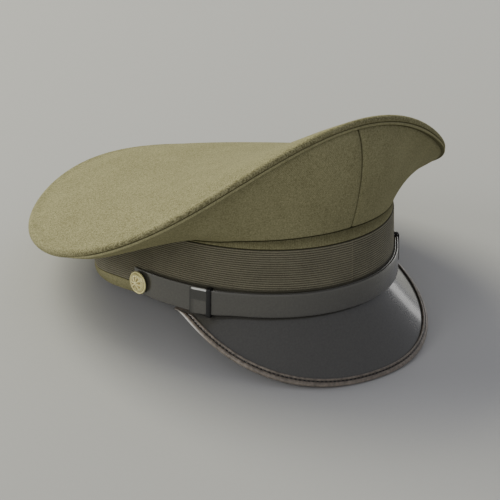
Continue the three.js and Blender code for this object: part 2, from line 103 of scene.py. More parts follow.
@dataclass(frozen=True)
class TurnTable:
    """A size that changes round the cap, with a smooth curve through its rows."""

    turns: tuple[float, ...]
    values: tuple[float, ...]

    def _rise(self, row: int) -> float:
        """Slope of the straight line from one row to the next."""
        return (self.values[row + 1] - self.values[row]) / (self.turns[row + 1] - self.turns[row])

    def _slope(self, row: int) -> float:
        """Measure the slope of the smooth curve.

        Args:
            row: The row to measure at.

        Returns:
            The slope there, level at the ends and where the curve turns back.
        """
        if row <= 0 or row >= len(self.turns) - 1:
            return 0.0
        before, after = self._rise(row - 1), self._rise(row)
        return 0.0 if before * after <= 0 else 2 * before * after / (before + after)

    def at(self, turn: float) -> float:
        """Read the size at a turn.

        Args:
            turn: Degrees from the front, positive or negative.

        Returns:
            The size on the smooth curve.
        """
        place = abs(turn) % 360
        place = 360 - place if place > 180 else place
        if place >= self.turns[-1]:
            return self.values[-1]
        row = 0
        while place > self.turns[row + 1]:
            row += 1
        span = self.turns[row + 1] - self.turns[row]
        t = (place - self.turns[row]) / span
        keep = (1 + 2 * t) * (1 - t) ** 2
        lead = t * (1 - t) ** 2 * span
        tail = -t * t * (1 - t) * span
        return (
            self.values[row] * keep
            + self.values[row + 1] * (1 - keep)
            + self._slope(row) * lead
            + self._slope(row + 1) * tail
        )


@dataclass(frozen=True)
class BandStation:
    """One place round the head band.

    Attributes:
        base: Point of the band's oval, in its plane.
        out: Level direction out of the band.
        drop: How far the band hangs lower here than at the front.
        lean: How much the band leans in for each millimetre of height.
        foot: Height of the hem's lower edge.
        hem: Height of the hem's top.
        strip: Height of the cloth strip over the braid.
    """

    base: Vector
    out: Vector
    drop: float
    lean: float
    foot: float
    hem: float
    strip: float

    def at(self, out: float, height: float) -> Vector:
        """Point at a distance out of the oval and a height over the band's plane."""
        level = self.base + self.out * (out - self.lean * height)
        return Vector((level.x, level.y, height - self.drop))


@dataclass(frozen=True)
class BandLine:
    """Oval of the head band and its heights, in millimetres."""

    half_length: float = 103.0
    half_width: float = 87.2
    squareness: float = 2.08
    front_narrowing: float = 0.05
    braid_top: float = 46.5
    lean_in: float = 0.75
    strip_height: float = 7.8
    rear_drop: float = 10.5
    hem_height: float = 7.6
    hem_raise: float = 3.2
    strip: TurnTable = TurnTable(
        BAND_TURNS,
        (1, 0.95, 0.8, 0.59, 0.31, 0.15, 0.14, 0.13, 0.13, 0.13, 0.13, 0.13, 0.13, 0.13),
    )
    drop: TurnTable = TurnTable(
        BAND_TURNS, (0, 0, 0, 0, 0, 0, 0, 0, 0.17, 0.37, 0.53, 0.65, 0.9, 1)
    )
    hem: TurnTable = TurnTable(
        BAND_TURNS,
        (0.6, 0.65, 0.7, 0.8, 0.9, 0.95, 0.98, 1, 0.97, 0.93, 0.75, 0.58, 0.55, 0.55),
    )
    foot: TurnTable = TurnTable(
        BAND_TURNS, (0, 0, 0, 0, 0.3, 0.9, 1, 0.25, 0, 0, 0, 0, 0, 0)
    )

    def oval(self, turn: float) -> Vector:
        """Find a point of the oval.

        Args:
            turn: Degrees from the front.

        Returns:
            The point, in the band's plane.
        """
        s, c = math.sin(math.radians(turn)), math.cos(math.radians(turn))
        power = 2 / self.squareness
        across = self.half_width * math.copysign(abs(s) ** power, s)
        along = -self.half_length * math.copysign(abs(c) ** power, c)
        return Vector((across * (1 - self.front_narrowing * c), along, 0))

    def station(self, turn: float) -> BandStation:
        """Measure the band at one place.

        Args:
            turn: Degrees from the front.

        Returns:
            The place's point, directions and heights.
        """
        step = self.oval(turn + NEAR_TURN) - self.oval(turn - NEAR_TURN)
        return BandStation(
            base=self.oval(turn),
            out=Vector((step.y, -step.x, 0)).normalized(),
            drop=self.rear_drop * self.drop.at(turn),
            lean=self.lean_in / self.braid_top,
            foot=self.hem_raise * self.foot.at(turn),
            hem=self.hem_height * self.hem.at(turn),
            strip=self.strip_height * self.strip.at(turn),
        )


@dataclass(frozen=True)
class RimStation:
    """One place on the crown's rim.

    Attributes:
        centre: Centre line of the rolled edge.
        out: Level direction out of the crown.
        down: Direction down and square to the rim.
        radius: Radius of the rolled edge.
        welt: Share of the welt's full height.
    """

    centre: Vector
    out: Vector
    down: Vector
    radius: float
    welt: float

    def at(self, out: float, down: float) -> Vector:
        """Point at a distance out of the rim's centre line and below it."""
        return self.centre + self.out * out + self.down * down

    @property
    def foot(self) -> float:
        """Depth at which the rolled edge meets the welt."""
        return WELT_SEAT * self.radius


@dataclass(frozen=True)
class RimLine:
    """Rim of the crown as waves round the turn, in millimetres.

    Attributes:
        waves: Number of waves round the rim, with their shares in width, length and height.
        tip_turn: Turn of the crown's front corners, where the rolled edge is slimmer.
        tip_slim: Share by which it is slimmer there.
        welt_slim: How many times that share the welt is lower there.
        roll: Share of the rolled edge's full radius.
        push: Distance by which its centre line stands out of the waves.
    """

    half_width: float = 132.7
    half_length: float = 126.3
    set_back: float = 18.6
    mean_height: float = 53.0
    sweep: float = 42.8
    edge_roll: float = 3.0
    tip_turn: float = 54.0
    tip_width: float = 20.0
    tip_slim: float = 0.3
    welt_slim: float = 1.6
    top_lift: float = 2.0
    top_swell: float = 9.5
    top_power: float = 5.5
    waves: tuple[tuple[int, float, float, float], ...] = (
        (1, 1.0, -1.0, 1.0),
        (2, 0.058, 0.0, 0.488),
        (3, -0.01, -0.01, 0.128),
        (4, 0.0, 0.0, 0.046),
    )
    roll: TurnTable = TurnTable(RIM_TURNS, (0.72, 0.72, 0.72, 0.82, 1.25, 1.27, 1.2))
    push: TurnTable = TurnTable(RIM_TURNS, (0, 0.3, 1.7, 1.0, -0.6, -0.6, -0.5))

    def line(self, turn: float, share: float = 1.0) -> Vector:
        """Point on the rim, or nearer the crown's middle where the share is under 1.

        Args:
            turn: Degrees from the front.
            share: 1 at the rim and 0 in the middle.

        Returns:
            The point.
        """
        point = Vector((0, self.set_back, self.mean_height))
        for waves, width, length, height in self.waves:
            reach, angle = share**waves, math.radians(waves * turn)
            point.x += self.half_width * width * reach * math.sin(angle)
            point.y += self.half_length * length * reach * math.cos(angle)
            point.z += self.sweep * height * reach * math.cos(angle)
        return point

    def top(self, turn: float, share: float) -> Vector:
        """Point of the crown's upper face between its middle and its rim."""
        lift = self.top_lift + self.top_swell * (1 - share**self.top_power)
        return self.line(turn, share) + Vector((0, 0, lift))

    def station(self, turn: float) -> RimStation:
        """Measure the rim at one place.

        Args:
            turn: Degrees from the front.

        Returns:
            The place's point, directions and roll.
        """
        along = (self.line(turn + NEAR_TURN) - self.line(turn - NEAR_TURN)).normalized()
        out = Vector((along.y, -along.x, 0)).normalized()
        down = out.cross(along).normalized()
        slim = self.tip_slim * bell(turn - self.tip_turn, self.tip_width)
        full = self.edge_roll * self.roll.at(turn)
        centre = self.line(turn) + out * (self.push.at(turn) + full * slim)
        down = down if down.z <= 0 else -down
        return RimStation(centre, out, down, full * (1 - slim), 1 - self.welt_slim * slim)


@dataclass(frozen=True)
class Lie:
    """How the cap lies on the floor: tipped back on to its hem and the edge of its peak."""

    tip: float = 6.1691
    back: float = -8.3522
    lift: float = 21.0724

    @property
    def matrix(self) -> Matrix:
        """Find how the cap stands.

        Returns:
            Transform from millimetres on the band's plane to metres on the floor.
        """
        shift = Matrix.Translation(Vector((0, self.back, self.lift)))
        tipped = Matrix.Rotation(math.radians(-self.tip), 4, "X")
        return Matrix.Scale(MILLIMETRE, 4) @ shift @ tipped


BAND = BandLine()
RIM = RimLine()
LIE = Lie().matrix


def turns_between(start: float, end: float, step: float) -> list[float]:
    """Evenly spaced turns, both ends included.

    Args:
        start: First turn in degrees.
        end: Last turn in degrees.
        step: Widest spacing in degrees.

    Returns:
        The turns in order.
    """
    count = max(1, math.ceil(abs(end - start) / step))
    return [start + (end - start) * i / count for i in range(count + 1)]


def turns_round(step: float) -> list[float]:
    """Evenly spaced turns once round the cap, from the rear."""
    return turns_between(-180, 180, step)[:-1]


def bell(distance: float, width: float) -> float:
    """Smooth bump of height 1 and the given half width."""
    return math.exp(-((distance / width) ** 2))


def smooth_share(value: float, low: float, high: float) -> float:
    """Share from 0 to 1 of the way from low to high, with soft ends."""
    t = min(max((value - low) / (high - low), 0.0), 1.0)
    return t * t * (3 - 2 * t)


def rounded(
    corners: Sequence[tuple[float, float, float]], steps: int = 3
) -> list[tuple[float, float]]:
    """Round the corners of a closed outline.

    Args:
        corners: Each corner's two coordinates and the length its rounding takes.
        steps: Short edges in each rounding.

    Returns:
        The points of the outline, as many for every outline with as many corners.
    """
    points = []
    for i, (x, y, size) in enumerate(corners):
        here = Vector((x, y))
        ways = (Vector(corners[(i + k) % len(corners)][:2]) - here for k in (-1, 1))
        start, end = (
            here + way.normalized() * min(size, way.length * ROUNDING_LIMIT) for way in ways
        )
        for k in range(steps + 1):
            t = k / steps
            curved = start * (1 - t) ** 2 + here * 2 * t * (1 - t) + end * t * t
            points.append((curved.x, curved.y))
    return points


# Meshes


@dataclass
class Skin:
    """A surface laid over rows of points from a flat grid.

    Attributes:
        rows: Points in millimetres on the band's plane, one list for each section.
        ring: Whether the last section joins the first.
        tube: Whether each section is a closed outline.
        flat: Whether the cloth is cut flat, so its weave runs along X and Y.
        mark: Strength of a mark by section and point, up to 1 where shade is painted and along
            dark stitches, and under 0
        where a highlight is painted.
        rest: Whether what would lie under the floor is flattened on to it.
    """

    rows: Rows
    ring: bool = False
    tube: bool = False
    flat: bool = False
    mark: Callable[[int, int], float] | None = None
    rest: bool = False

    def lay(self) -> bmesh.types.BMesh:
        """Map a grid over the rows.

        Returns:
            A closed mesh in metres on the floor, with a UV map in metres.
        """
        rows = [[*row, row[0]] if self.tube else list(row) for row in self.rows]
        rows = [*rows, rows[0]] if self.ring else rows
        across, down = len(rows) - 1, len(rows[0]) - 1
        work = bmesh.new()
        bmesh.ops.create_grid(work, x_segments=across, y_segments=down, size=0.5, calc_uvs=True)
        weave = work.loops.layers.uv.verify()
        marks = work.verts.layers.float.new("mark")
        run, fall = self._lengths([row[down // 2] for row in rows]), self._lengths(rows[0])
        places = {}
        for vert in work.verts:
            i, j = round((vert.co.x + 0.5) * across), round((vert.co.y + 0.5) * down)
            point = rows[i][j]
            places[vert.index] = (point.x, point.y) if self.flat else (run[i], fall[j])
            if self.mark:
                vert[marks] = self.mark(i % len(self.rows), j % len(self.rows[0]))
            vert.co = LIE @ point
            if self.rest:
                vert.co.z = max(vert.co.z, 0.0)
        for face in work.faces:
            for loop in face.loops:
                loop[weave].uv = Vector(places[loop.vert.index]) * MILLIMETRE
        bmesh.ops.remove_doubles(work, verts=work.verts, dist=MERGE_DISTANCE)
        close_ends(work)
        return work

    @staticmethod
    def _lengths(points: Sequence[Vector]) -> list[float]:
        """Measure along the line through some points.

        Args:
            points: The points in order.

        Returns:
            Distance of each point from the first.
        """
        total = [0.0]
        for before, after in zip(points, points[1:]):
            total.append(total[-1] + (after - before).length)
        return total


def close_ends(work: bmesh.types.BMesh) -> None:
    """Close a mesh where it is open and turn its faces outwards.

    Args:
        work: The mesh.
    """
    ends = [edge for edge in work.edges if edge.is_boundary]
    if ends:
        bmesh.ops.holes_fill(work, edges=ends, sides=0)
    bmesh.ops.recalc_face_normals(work, faces=work.faces)


def walled(rows: Rows, wall: float) -> Rows:
    """Give a sheet of cloth its thickness.

    Args:
        rows: The outer face, with turns rising from row to row and points running up.
        wall: Thickness in millimetres.

    Returns:
        Closed sections: the outer face and back along the inner one.
    """
    sections = []
    for i, row in enumerate(rows):
        before, after = rows[max(i - 1, 0)], rows[min(i + 1, len(rows) - 1)]
        inner = []
        for j, point in enumerate(row):
            up = row[min(j + 1, len(row) - 1)] - row[max(j - 1, 0)]
            inner.append(point + up.cross(after[j] - before[j]).normalized() * wall)
        sections.append([*row, *reversed(inner)])
    return sections


def finish_piece(
    work: bmesh.types.BMesh, name: str, material: bpy.types.Material, part: Part, *nodes: str
) -> bpy.types.Object:
    """Turn a mesh into a piece that stands for its solids.

    Args:
        work: The mesh, in metres in its place.
        name: The piece's name.
        material: Its finish.
        part: The record's material slot; not used.
        *nodes: The solids that the piece stands for.

    Returns:
        The piece.
    """
    mesh = bpy.data.meshes.new(name)
    work.to_mesh(mesh)
    work.free()
    mesh.shade_smooth()
    mesh.set_sharp_from_angle(angle=SHARP_EDGE)
    mesh.materials.append(material)
    piece = bpy.data.objects.new(name, mesh)
    bpy.context.scene.collection.objects.link(piece)
    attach(piece, "root")
    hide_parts(*nodes)
    LOG.info("%s has %d faces", name, len(mesh.polygons))
    return piece


# Finishes

Value = "Signal | bpy.types.NodeSocket | float | Sequence[float]"


class Signal:
    """An output of a shader node that can be used in sums."""

    def __init__(self, graph: "Graph", socket: bpy.types.NodeSocket) -> None:
        """Wrap an output of the graph."""
        self.graph = graph
        self.socket = socket

    def _sum(self, operation: str, first: Value, second: Value) -> "Signal":
        """Add a Math node for two values."""
        return self.graph.node("ShaderNodeMath", {"operation": operation}, {0: first, 1: second})

    def __add__(self, other: Value) -> "Signal":
        """Sum."""
        return self._sum("ADD", self, other)

    def __sub__(self, other: Value) -> "Signal":
        """Difference."""
        return self._sum("SUBTRACT", self, other)

    def __rsub__(self, other: Value) -> "Signal":
        """Difference from a number."""
        return self._sum("SUBTRACT", other, self)

    def __mul__(self, other: Value) -> "Signal":
        """Product."""
        return self._sum("MULTIPLY", self, other)

    __radd__ = __add__
    __rmul__ = __mul__


class Graph:
    """The nodes of one material."""

    def __init__(self, name: str) -> None:
        """Start an empty material.

        Args:
            name: The material's name.
        """
        self.material = bpy.data.materials.new(name)
        self.material.use_nodes = True
        self.tree = self.material.node_tree
        self.tree.nodes.clear()

    def node(
        self,
        kind: str,
        settings: dict[str, object] | None = None,
        sockets: dict[str | int, Value] | None = None,
        output: str | int = 0,
    ) -> Signal:
        """Add a node.

        Args:
            kind: The node's type.
            settings: Its settings.
            sockets: Values or links of its inputs.
            output: The output wanted.

        Returns:
            That output.
        """
        made = self.tree.nodes.new(kind)
        for name, setting in (settings or {}).items():
            setattr(made, name, setting)
        for name, value in (sockets or {}).items():
            if isinstance(value, Signal):
                self.tree.links.new(value.socket, made.inputs[name])
            else:
                made.inputs[name].default_value = value
        return Signal(self, made.outputs[output])

    def noise(self, where: Signal, scale: float, detail: float = 2.0) -> Signal:
        """Noise about 0.5, with grains of one metre divided by the scale."""
        sockets = {"Vector": where, "Scale": scale, "Detail": detail}
        return self.node("ShaderNodeTexNoise", {}, sockets, "Fac")

    def wave(self, turns: Signal) -> Signal:
        """Sine wave from 0 to 1."""
        return self.node("ShaderNodeMath", {"operation": "SINE"}, {0: turns}) * 0.5 + 0.5

    def blend(self, under: Signal | Colour, over: Colour, share: Signal) -> Signal:
        """Lay one colour over another.

        Args:
            under: Colour where the share is 0.
            over: Colour where the share is 1.
            share: How much of the second is seen.

        Returns:
            The colour between them.
        """
        under = under if isinstance(under, Signal) else (*under, 1.0)
        sockets = {0: share, 6: under, 7: (*over, 1.0)}
        return self.node("ShaderNodeMix", {"data_type": "RGBA"}, sockets, 2)

    def relief(self, height: Signal, distance: float, strength: float = 1.0) -> Signal:
        """Normal of a fine relief."""
        sockets = {"Height": height, "Distance": distance, "Strength": strength}
        return self.node("ShaderNodeBump", {}, sockets, "Normal")

    def coordinates(self, output: str) -> Signal:
        """Object or UV coordinates."""
        return self.node("ShaderNodeTexCoord", {}, {}, output)

    def mark(self) -> Signal:
        """The mark that the mesh carries: painted shade and highlights, and the dark of stitches
        and hollows.
        """
        return self.node("ShaderNodeAttribute", {"attribute_name": "mark"}, {}, "Fac")

    def split(self, vector: Signal) -> tuple[Signal, Signal]:
        """First two coordinates of a vector."""
        parts = self.node("ShaderNodeSeparateXYZ", {}, {0: vector})
        return parts, Signal(self, parts.socket.node.outputs[1])

    def shine(self, sockets: dict[str | int, Value]) -> bpy.types.Material:
        """Close the graph with a principled shader.

        Args:
            sockets: The shader's inputs.

        Returns:
            The finished material.
        """
        shader = self.node("ShaderNodeBsdfPrincipled", {}, sockets, "BSDF")
        end = self.tree.nodes.new("ShaderNodeOutputMaterial")
        self.tree.links.new(shader.socket, end.inputs["Surface"])
        return self.material


@dataclass(frozen=True)
class WoolTwill:
    """Khaki wool cloth with a fine slanting twill and a soft nap.

    Attributes:
        pitch: Distance in metres from one line of the twill to the next.
        slant: How steeply the lines climb.
        sway: How far the slow grain bends them, in radians.
        contrast: Strength of the grain.
        seam: Colour of the painted shade deep in seams and grooves, under the rolled edge and
            where the peak shades the hem.
    """

    name: str
    dark: Colour = (0.146, 0.135, 0.067)
    light: Colour = (0.392, 0.371, 0.208)
    seam: Colour = (0.02, 0.018, 0.008)
    sheen: tuple[float, float, float, float] = (0.95, 0.90, 0.45, 1.0)
    pitch: float = 0.0014
    slant: float = 1.3
    sway: float = 5.0
    contrast: float = 0.65
    nap_scale: float = 1150.0
    cloud_scale: float = 45.0
    slow_scale: float = 420.0
    depth: float = 0.00015

    def material(self) -> bpy.types.Material:
        """Make the finish.

        Returns:
            The cloth's material.
        """
        graph = Graph(self.name)
        place = graph.coordinates("Object")
        along, up = graph.split(graph.coordinates("UV"))
        nap = graph.noise(place, self.nap_scale, detail=3.0)
        clouds = graph.noise(place, self.cloud_scale)
        slow = graph.noise(place, self.slow_scale)
        turns = (along * self.slant + up) * (math.tau / self.pitch) + slow * self.sway
        twill = graph.wave(turns)
        # The mesh's mark paints shade in seams and grooves, under the rolled edge and on the hem,
        # and a painted highlight along the welt where it is under zero.
        seam = graph.mark()
        grain = (nap - 0.5) * 2.1 + (twill - 0.5) * 0.3 + (slow - 0.5) * 0.4
        tone = grain * self.contrast + clouds * 0.3 + 0.32 - seam * 0.4
        cloth = graph.blend(self.dark, self.light, tone)
        return graph.shine(
            {
                "Base Color": graph.blend(cloth, self.seam, seam),
                "Roughness": 0.93,
                "Sheen Weight": 0.1,
                "Sheen Roughness": 0.4,
                "Sheen Tint": self.sheen,
                "Specular IOR Level": 0.1,
                "Normal": graph.relief(nap * 0.7 + twill * 0.3, self.depth),
            }
        )


@dataclass(frozen=True)
class RibbedBraid:
    """Dark olive braid with raised ribs, finely crossed by its yarns.

    Attributes:
        yarn: Distance in metres from one yarn to the next.
        sway: How far the slow grain bends them, in radians.
    """

    name: str = "braid_olive"
    dark: Colour = (0.064, 0.059, 0.040)
    light: Colour = (0.322, 0.298, 0.202)
    yarn: float = 0.0007
    sway: float = 4.0
    nap_scale: float = 1500.0
    cloud_scale: float = 60.0
    slow_scale: float = 300.0
    depth: float = 0.00012

    def material(self) -> bpy.types.Material:
        """Make the finish.

        Returns:
            The braid's material.
        """
        graph = Graph(self.name)
        place = graph.coordinates("Object")
        along, _ = graph.split(graph.coordinates("UV"))
        nap = graph.noise(place, self.nap_scale, detail=3.0)
        clouds = graph.noise(place, self.cloud_scale)
        slow = graph.noise(place, self.slow_scale)
        yarns = graph.wave(along * (math.tau / self.yarn) + slow * self.sway)
        # The mesh's mark paints shade between the ribs and the strap's shadow, and a light line
        # along the joint where it is under zero.
        tone = nap * 0.8 + yarns * 0.2 + clouds * 0.3 - graph.mark() * 0.8
        return graph.shine(
            {
                "Base Color": graph.blend(self.dark, self.light, tone),
                "Roughness": 0.85,
                "Sheen Weight": 0.15,
                "Sheen Roughness": 0.4,
                "Specular IOR Level": 0.25,
                "Normal": graph.relief(nap * 0.5 + yarns * 0.5, self.depth, strength=0.8),
            }
        )


@dataclass(frozen=True)
class PatentLeather:
    """Black leather under a thick glossy varnish with a slight wave in it.

    Attributes:
        glint: Colour of the painted highlight along the strap's edges, where the mesh's mark is
            under zero.
        shade: Colour of the painted shade, where the mark is full.
        gloss: Lowest roughness under the varnish.
        coat: Weight of the varnish.
    """

    name: str = "patent_black"
    dark: Colour = (0.052, 0.050, 0.043)
    light: Colour = (0.090, 0.086, 0.075)
    glint: Colour = (0.85, 0.85, 0.82)
    shade: Colour = (0.003, 0.003, 0.003)
    gloss: float = 0.2
    coat: float = 0.8
    wave_scale: float = 70.0
    dust_scale: float = 900.0
    gloss_scale: float = 35.0
    depth: float = 0.0006

    def material(self) -> bpy.types.Material:
        """Make the finish.

        Returns:
            The patent leather's material.
        """
        graph = Graph(self.name)
        place = graph.coordinates("Object")
        mark = graph.mark()
        # The mesh's mark paints the strap's shade and highlights: it darkens the dust's random
        # tone and lays on the shade colour, and under -0.6 it lays on the glint colour as a
        # painted highlight.
        dust_and_painted_light = graph.noise(place, self.dust_scale, detail=3.0) - mark * 2.0
        overlaid = graph.blend(graph.blend(self.dark, self.light, dust_and_painted_light), self.glint, -0.6 - mark)
        wave = graph.noise(place, self.wave_scale)
        return graph.shine(
            {
                "Base Color": graph.blend(overlaid, self.shade, mark),
                "Roughness": graph.noise(place, self.gloss_scale, detail=3.0) * 0.1 + self.gloss,
                "IOR": 1.55,
                "Coat Weight": self.coat,
                "Coat Roughness": 0.12,
                "Normal": graph.relief(wave, self.depth, strength=0.35),
            }
        )


@dataclass(frozen=True)
class BoundEdge:
    """Brown-black leather binding with a line of stitches sunk in it.

    Attributes:
        overlay_colour: Colour of the painted highlight on the outer edge, where the mesh's mark is
            under zero.
        hole: Colour between the stitches, where the mark is full.
        stitch: Distance in metres from one stitch to the next.
    """

    name: str = "binding_brown"
    dark: Colour = (0.075, 0.062, 0.051)
    light: Colour = (0.330, 0.280, 0.225)
    overlay_colour: Colour = (0.85, 0.83, 0.78)
    hole: Colour = (0.004, 0.003, 0.002)
    stitch: float = 0.0028
    grain_scale: float = 1400.0
    wear_scale: float = 400.0
    depth: float = 0.00025

    def material(self) -> bpy.types.Material:
        """Make the finish.

        Returns:
            The binding's material.
        """
        graph = Graph(self.name)
        place = graph.coordinates("Object")
        along, _ = graph.split(graph.coordinates("UV"))
        grained = {"Vector": place, "Scale": self.grain_scale}
        grain = graph.node("ShaderNodeTexVoronoi", {"feature": "F1"}, grained, "Distance")
        mark = graph.mark()
        # Under zero the mark paints a highlight on the outer edge: it lightens the tone, and under
        # -0.25 it lays on the overlay colour.
        tone = graph.noise(place, self.wear_scale, detail=4.0) * 1.5 - 0.3 - mark * 1.6
        sunk = mark * (graph.wave(along * (math.tau / self.stitch)) + 0.12)
        overlaid = graph.blend(graph.blend(self.dark, self.light, tone), self.overlay_colour, -0.25 - mark)
        return graph.shine(
            {
                "Base Color": graph.blend(overlaid, self.hole, sunk),
                "Roughness": tone * 0.15 + 0.3,
                "Coat Weight": 0.15,
                "Coat Roughness": 0.2,
                "Normal": graph.relief(grain * 0.5 - sunk, self.depth, strength=0.6),
            }
        )


@dataclass(frozen=True)
class GiltMetal:
    """Stamped gilt brass, darker in its hollows."""

    name: str = "gilt_brass"
    bright: Colour = (1.0, 0.95, 0.50)
    # Colour of the gilt where it is rubbed, laid over the bright gilt by a noise.
    overlay_colour: Colour = (1.0, 0.91, 0.42)
    hollow: Colour = (0.36, 0.27, 0.09)
    rub_scale: float = 900.0
    depth: float = 0.0001

    def material(self) -> bpy.types.Material:
        """Make the finish.

        Returns:
            The gilt's material.
        """
        graph = Graph(self.name)
        rub = graph.noise(graph.coordinates("Object"), self.rub_scale, detail=3.0)
        overlaid = graph.blend(self.bright, self.overlay_colour, rub)
        return graph.shine(
            {
                "Base Color": graph.blend(overlaid, self.hollow, graph.mark()),
                "Metallic": 0.25,
                "Roughness": rub * 0.2 + 0.15,
                "Normal": graph.relief(rub, self.depth, strength=0.4),
            }
        )


@dataclass(frozen=True)
class PaleFloor:
    """Plain matt floor with a barely seen grain."""

    name: str = "floor_pale"
    colour: Colour = (0.52, 0.52, 0.52)
    darkest: float = 0.97
    grain_scale: float = 300.0

    def material(self) -> bpy.types.Material:
        """Make the finish.

        Returns:
            The floor's material.
        """
        graph = Graph(self.name)
        grain = graph.noise(graph.coordinates("Object"), self.grain_scale)
        low = tuple(channel * self.darkest for channel in self.colour)
        tone = graph.blend(low, self.colour, grain)
        return graph.shine({"Base Color": tone, "Roughness": 0.8})


# Sub-assemblies


@dataclass
class Crown:
    """Crown of the cap: its top with a rolled edge, the welt and two side panels.

    Attributes:
        welt_line: Darkness of the painted shade in the grooves at the welt's two edges, by the
            shares of its half height; welt_highlight lightens its middle as a painted highlight.
        behind_turns: Turns between which the rolled edge comes to hang over the welt.
        rear_fade: Share of the dark lines that is lost there.
        rear_tuck: How far the welt stands up behind the edge there.
        seam_line: Darkness of the painted shade in the front seam at the band, with seam_rise more
            at the rim.
        top_crowding: Power that draws the rows of the top closer together in its middle.
        roll_angles: First and last angle round the rolled edge and the step between them.
        edge_line: Darkness of the painted shade in a line under the rolled edge, and the angles it
            comes in.
        edge_shade: Darkness of the painted shade over the whole underside, and the angles it comes
            in.
        low_pull, high_pull: Share of a panel's height over which its ends keep their lean.
        low_lean, high_lean: Angle over the level at which its two ends set out.
        tuck: Thicknesses of cloth by which a panel's upper edge is tucked in.
    """

    top_cloth: bpy.types.Material
    cloth: bpy.types.Material
    top_wall: float = 1.4
    panel_wall: float = 1.2
    welt_height: float = 1.9
    welt_depth: float = 1.0
    welt_face: float = 0.35
    welt_face_share: float = 0.66
    welt_line: float = 0.8
    welt_line_shares: tuple[float, float] = (0.7, 1.05)
    welt_highlight: float = 0.25
    behind_turns: tuple[float, float] = (70, 90)
    rear_fade: float = 0.8
    rear_tuck: float = 1.2
    rear_welt: float = 0.5
    rear_in: float = 1.5
    ring_step: float = 1.5
    top_rows: int = 34
    top_reach: float = 0.955
    top_crowding: float = 0.8
    under_rows: int = 12
    under_reach: float = 0.945
    roll_angles: tuple[float, float, float] = (98, -172, 13)
    edge_line: tuple[float, float, float] = (0.62, 35, 50)
    edge_shade: tuple[float, float, float] = (0.13, -75, 0)
    front_seam: float = 0.3
    seam_dip: float = 0.8
    seam_width: float = 1.5
    seam_line: float = 0.3
    seam_rise: float = 0.3
    seam_line_width: float = 0.35
    seam_shift: float = 1.3
    seam_shift_width: float = 25.0
    seam_turns: tuple[float, ...] = (0, 0.2, 0.45, 0.75, 1.1, 1.6, 2.4)
    wide_turns: tuple[float, float, float] = (4, 176, 2.0)
    panel_rows: int = 30
    panel_foot: tuple[float, ...] = (0.0, 0.006, 0.014)
    panel_head: tuple[float, ...] = (0.975, 0.985, 0.993, 1.0)
    panel_out: float = 0.3
    tuck_out: float = 0.6
    foot_line: float = 0.8
    head_line: float = 0.75
    line_width: float = 0.5
    low_pull: TurnTable = TurnTable(PANEL_TURNS, (0.28, 0.26, 0.26, 0.32, 0.4, 0.42, 0.42))
    low_lean: TurnTable = TurnTable(PANEL_TURNS, (69.5, 73.5, 33.2, -4.5, -34.5, -38, -38))
    high_pull: TurnTable = TurnTable(PANEL_TURNS, (0.26, 0.34, 0.39, 0.38, 0.36, 0.34, 0.32))
    high_lean: TurnTable = TurnTable(
        PANEL_TURNS, (-49.4, -118.7, -150.9, -155, -167, -170, -172)
    )
    tuck: TurnTable = TurnTable(PANEL_TURNS, (-1, -1, -0.5, 0.3, 1.1, 1.2, 1.2))

    def behind(self, turn: float) -> float:
        """Share by which the rolled edge hangs over the welt, full at the rear."""
        return smooth_share(abs(turn), *self.behind_turns)

    def build(self) -> None:
        """Build the four pieces."""
        self._top()
        self._welt()
        for side in Side:
            self._side_panel(side)

    def _top(self) -> None:
        """Cloth top, rolled over at its rim and closed by its underside."""
        shares = [
            self.top_reach * (k / self.top_rows) ** self.top_crowding
            for k in range(self.top_rows + 1)
        ]
        angles = turns_between(*self.roll_angles)
        under = [self.under_reach * (k / self.under_rows) for k in range(self.under_rows, -1, -1)]
        turns = turns_round(self.ring_step)
        rows = []
        for turn in turns:
            rim = RIM.station(turn)
            lower = Vector((0, 0, -self.top_wall))
            rows.append([RIM.top(turn, share) for share in shares])
            for angle in map(math.radians, angles):
                out, up = rim.radius * math.cos(angle), rim.radius * math.sin(angle)
                rows[-1].append(rim.at(out, -up))
            rows[-1].extend(RIM.top(turn, share) + lower for share in under)
        # Painted shade: a dark line under the rolled edge and a lighter shade over its whole
        # underside, faded at the rear.
        (line, *line_angles), (shade, *shade_angles) = self.edge_line, self.edge_shade
        edge = [
            line * smooth_share(-angle, *line_angles) + shade * smooth_share(-angle, *shade_angles)
            for angle in angles
        ]
        marks = [0.0] * len(shares) + edge + [0.0] * len(under)
        fade = [1 - self.rear_fade * self.behind(turn) for turn in turns]
        skin = Skin(rows, ring=True, flat=True, mark=lambda i, j: marks[j] * fade[i])
        finish_piece(skin.lay(), "cloth_top", self.top_cloth, Part.CLOTH, "crown_top")

    def _welt(self) -> None:
        """Thin folded welt under the rolled edge."""
        rows, marks = [], []
        for turn in turns_round(self.ring_step):
            rim = RIM.station(turn)
            behind = self.behind(turn)
            start = rim.foot + GAP - self.rear_tuck * behind
            end = start + self.welt_height * rim.welt * (1 - self.rear_welt * behind)
            face = rim.radius * self.welt_face_share + self.welt_face - behind
            outline = rounded(
                [
                    (-self.welt_depth, start, 0.2),
                    (face, start, 0.8),
                    (face, end, 0.8),
                    (-self.welt_depth, end, 0.2),
                ],
                steps=4,
            )
            rows.append([rim.at(out, down) for out, down in outline])
            half, fade = (end - start) / 2, 1 - self.rear_fade * behind
            away = [abs(down - start - half) / half for _, down in outline]
            # Painted shade in the grooves at the welt's two edges, and a painted highlight along
            # its middle where the mark is under zero.
            edges = [self.welt_line * smooth_share(k, *self.welt_line_shares) for k in away]
            marks.append([fade * (edge - self.welt_highlight) for edge in edges])
        skin = Skin(rows, ring=True, tube=True, mark=lambda i, j: marks[i][j])
        finish_piece(skin.lay(), "cloth_welt", self.cloth, Part.CLOTH, "rim_welt")

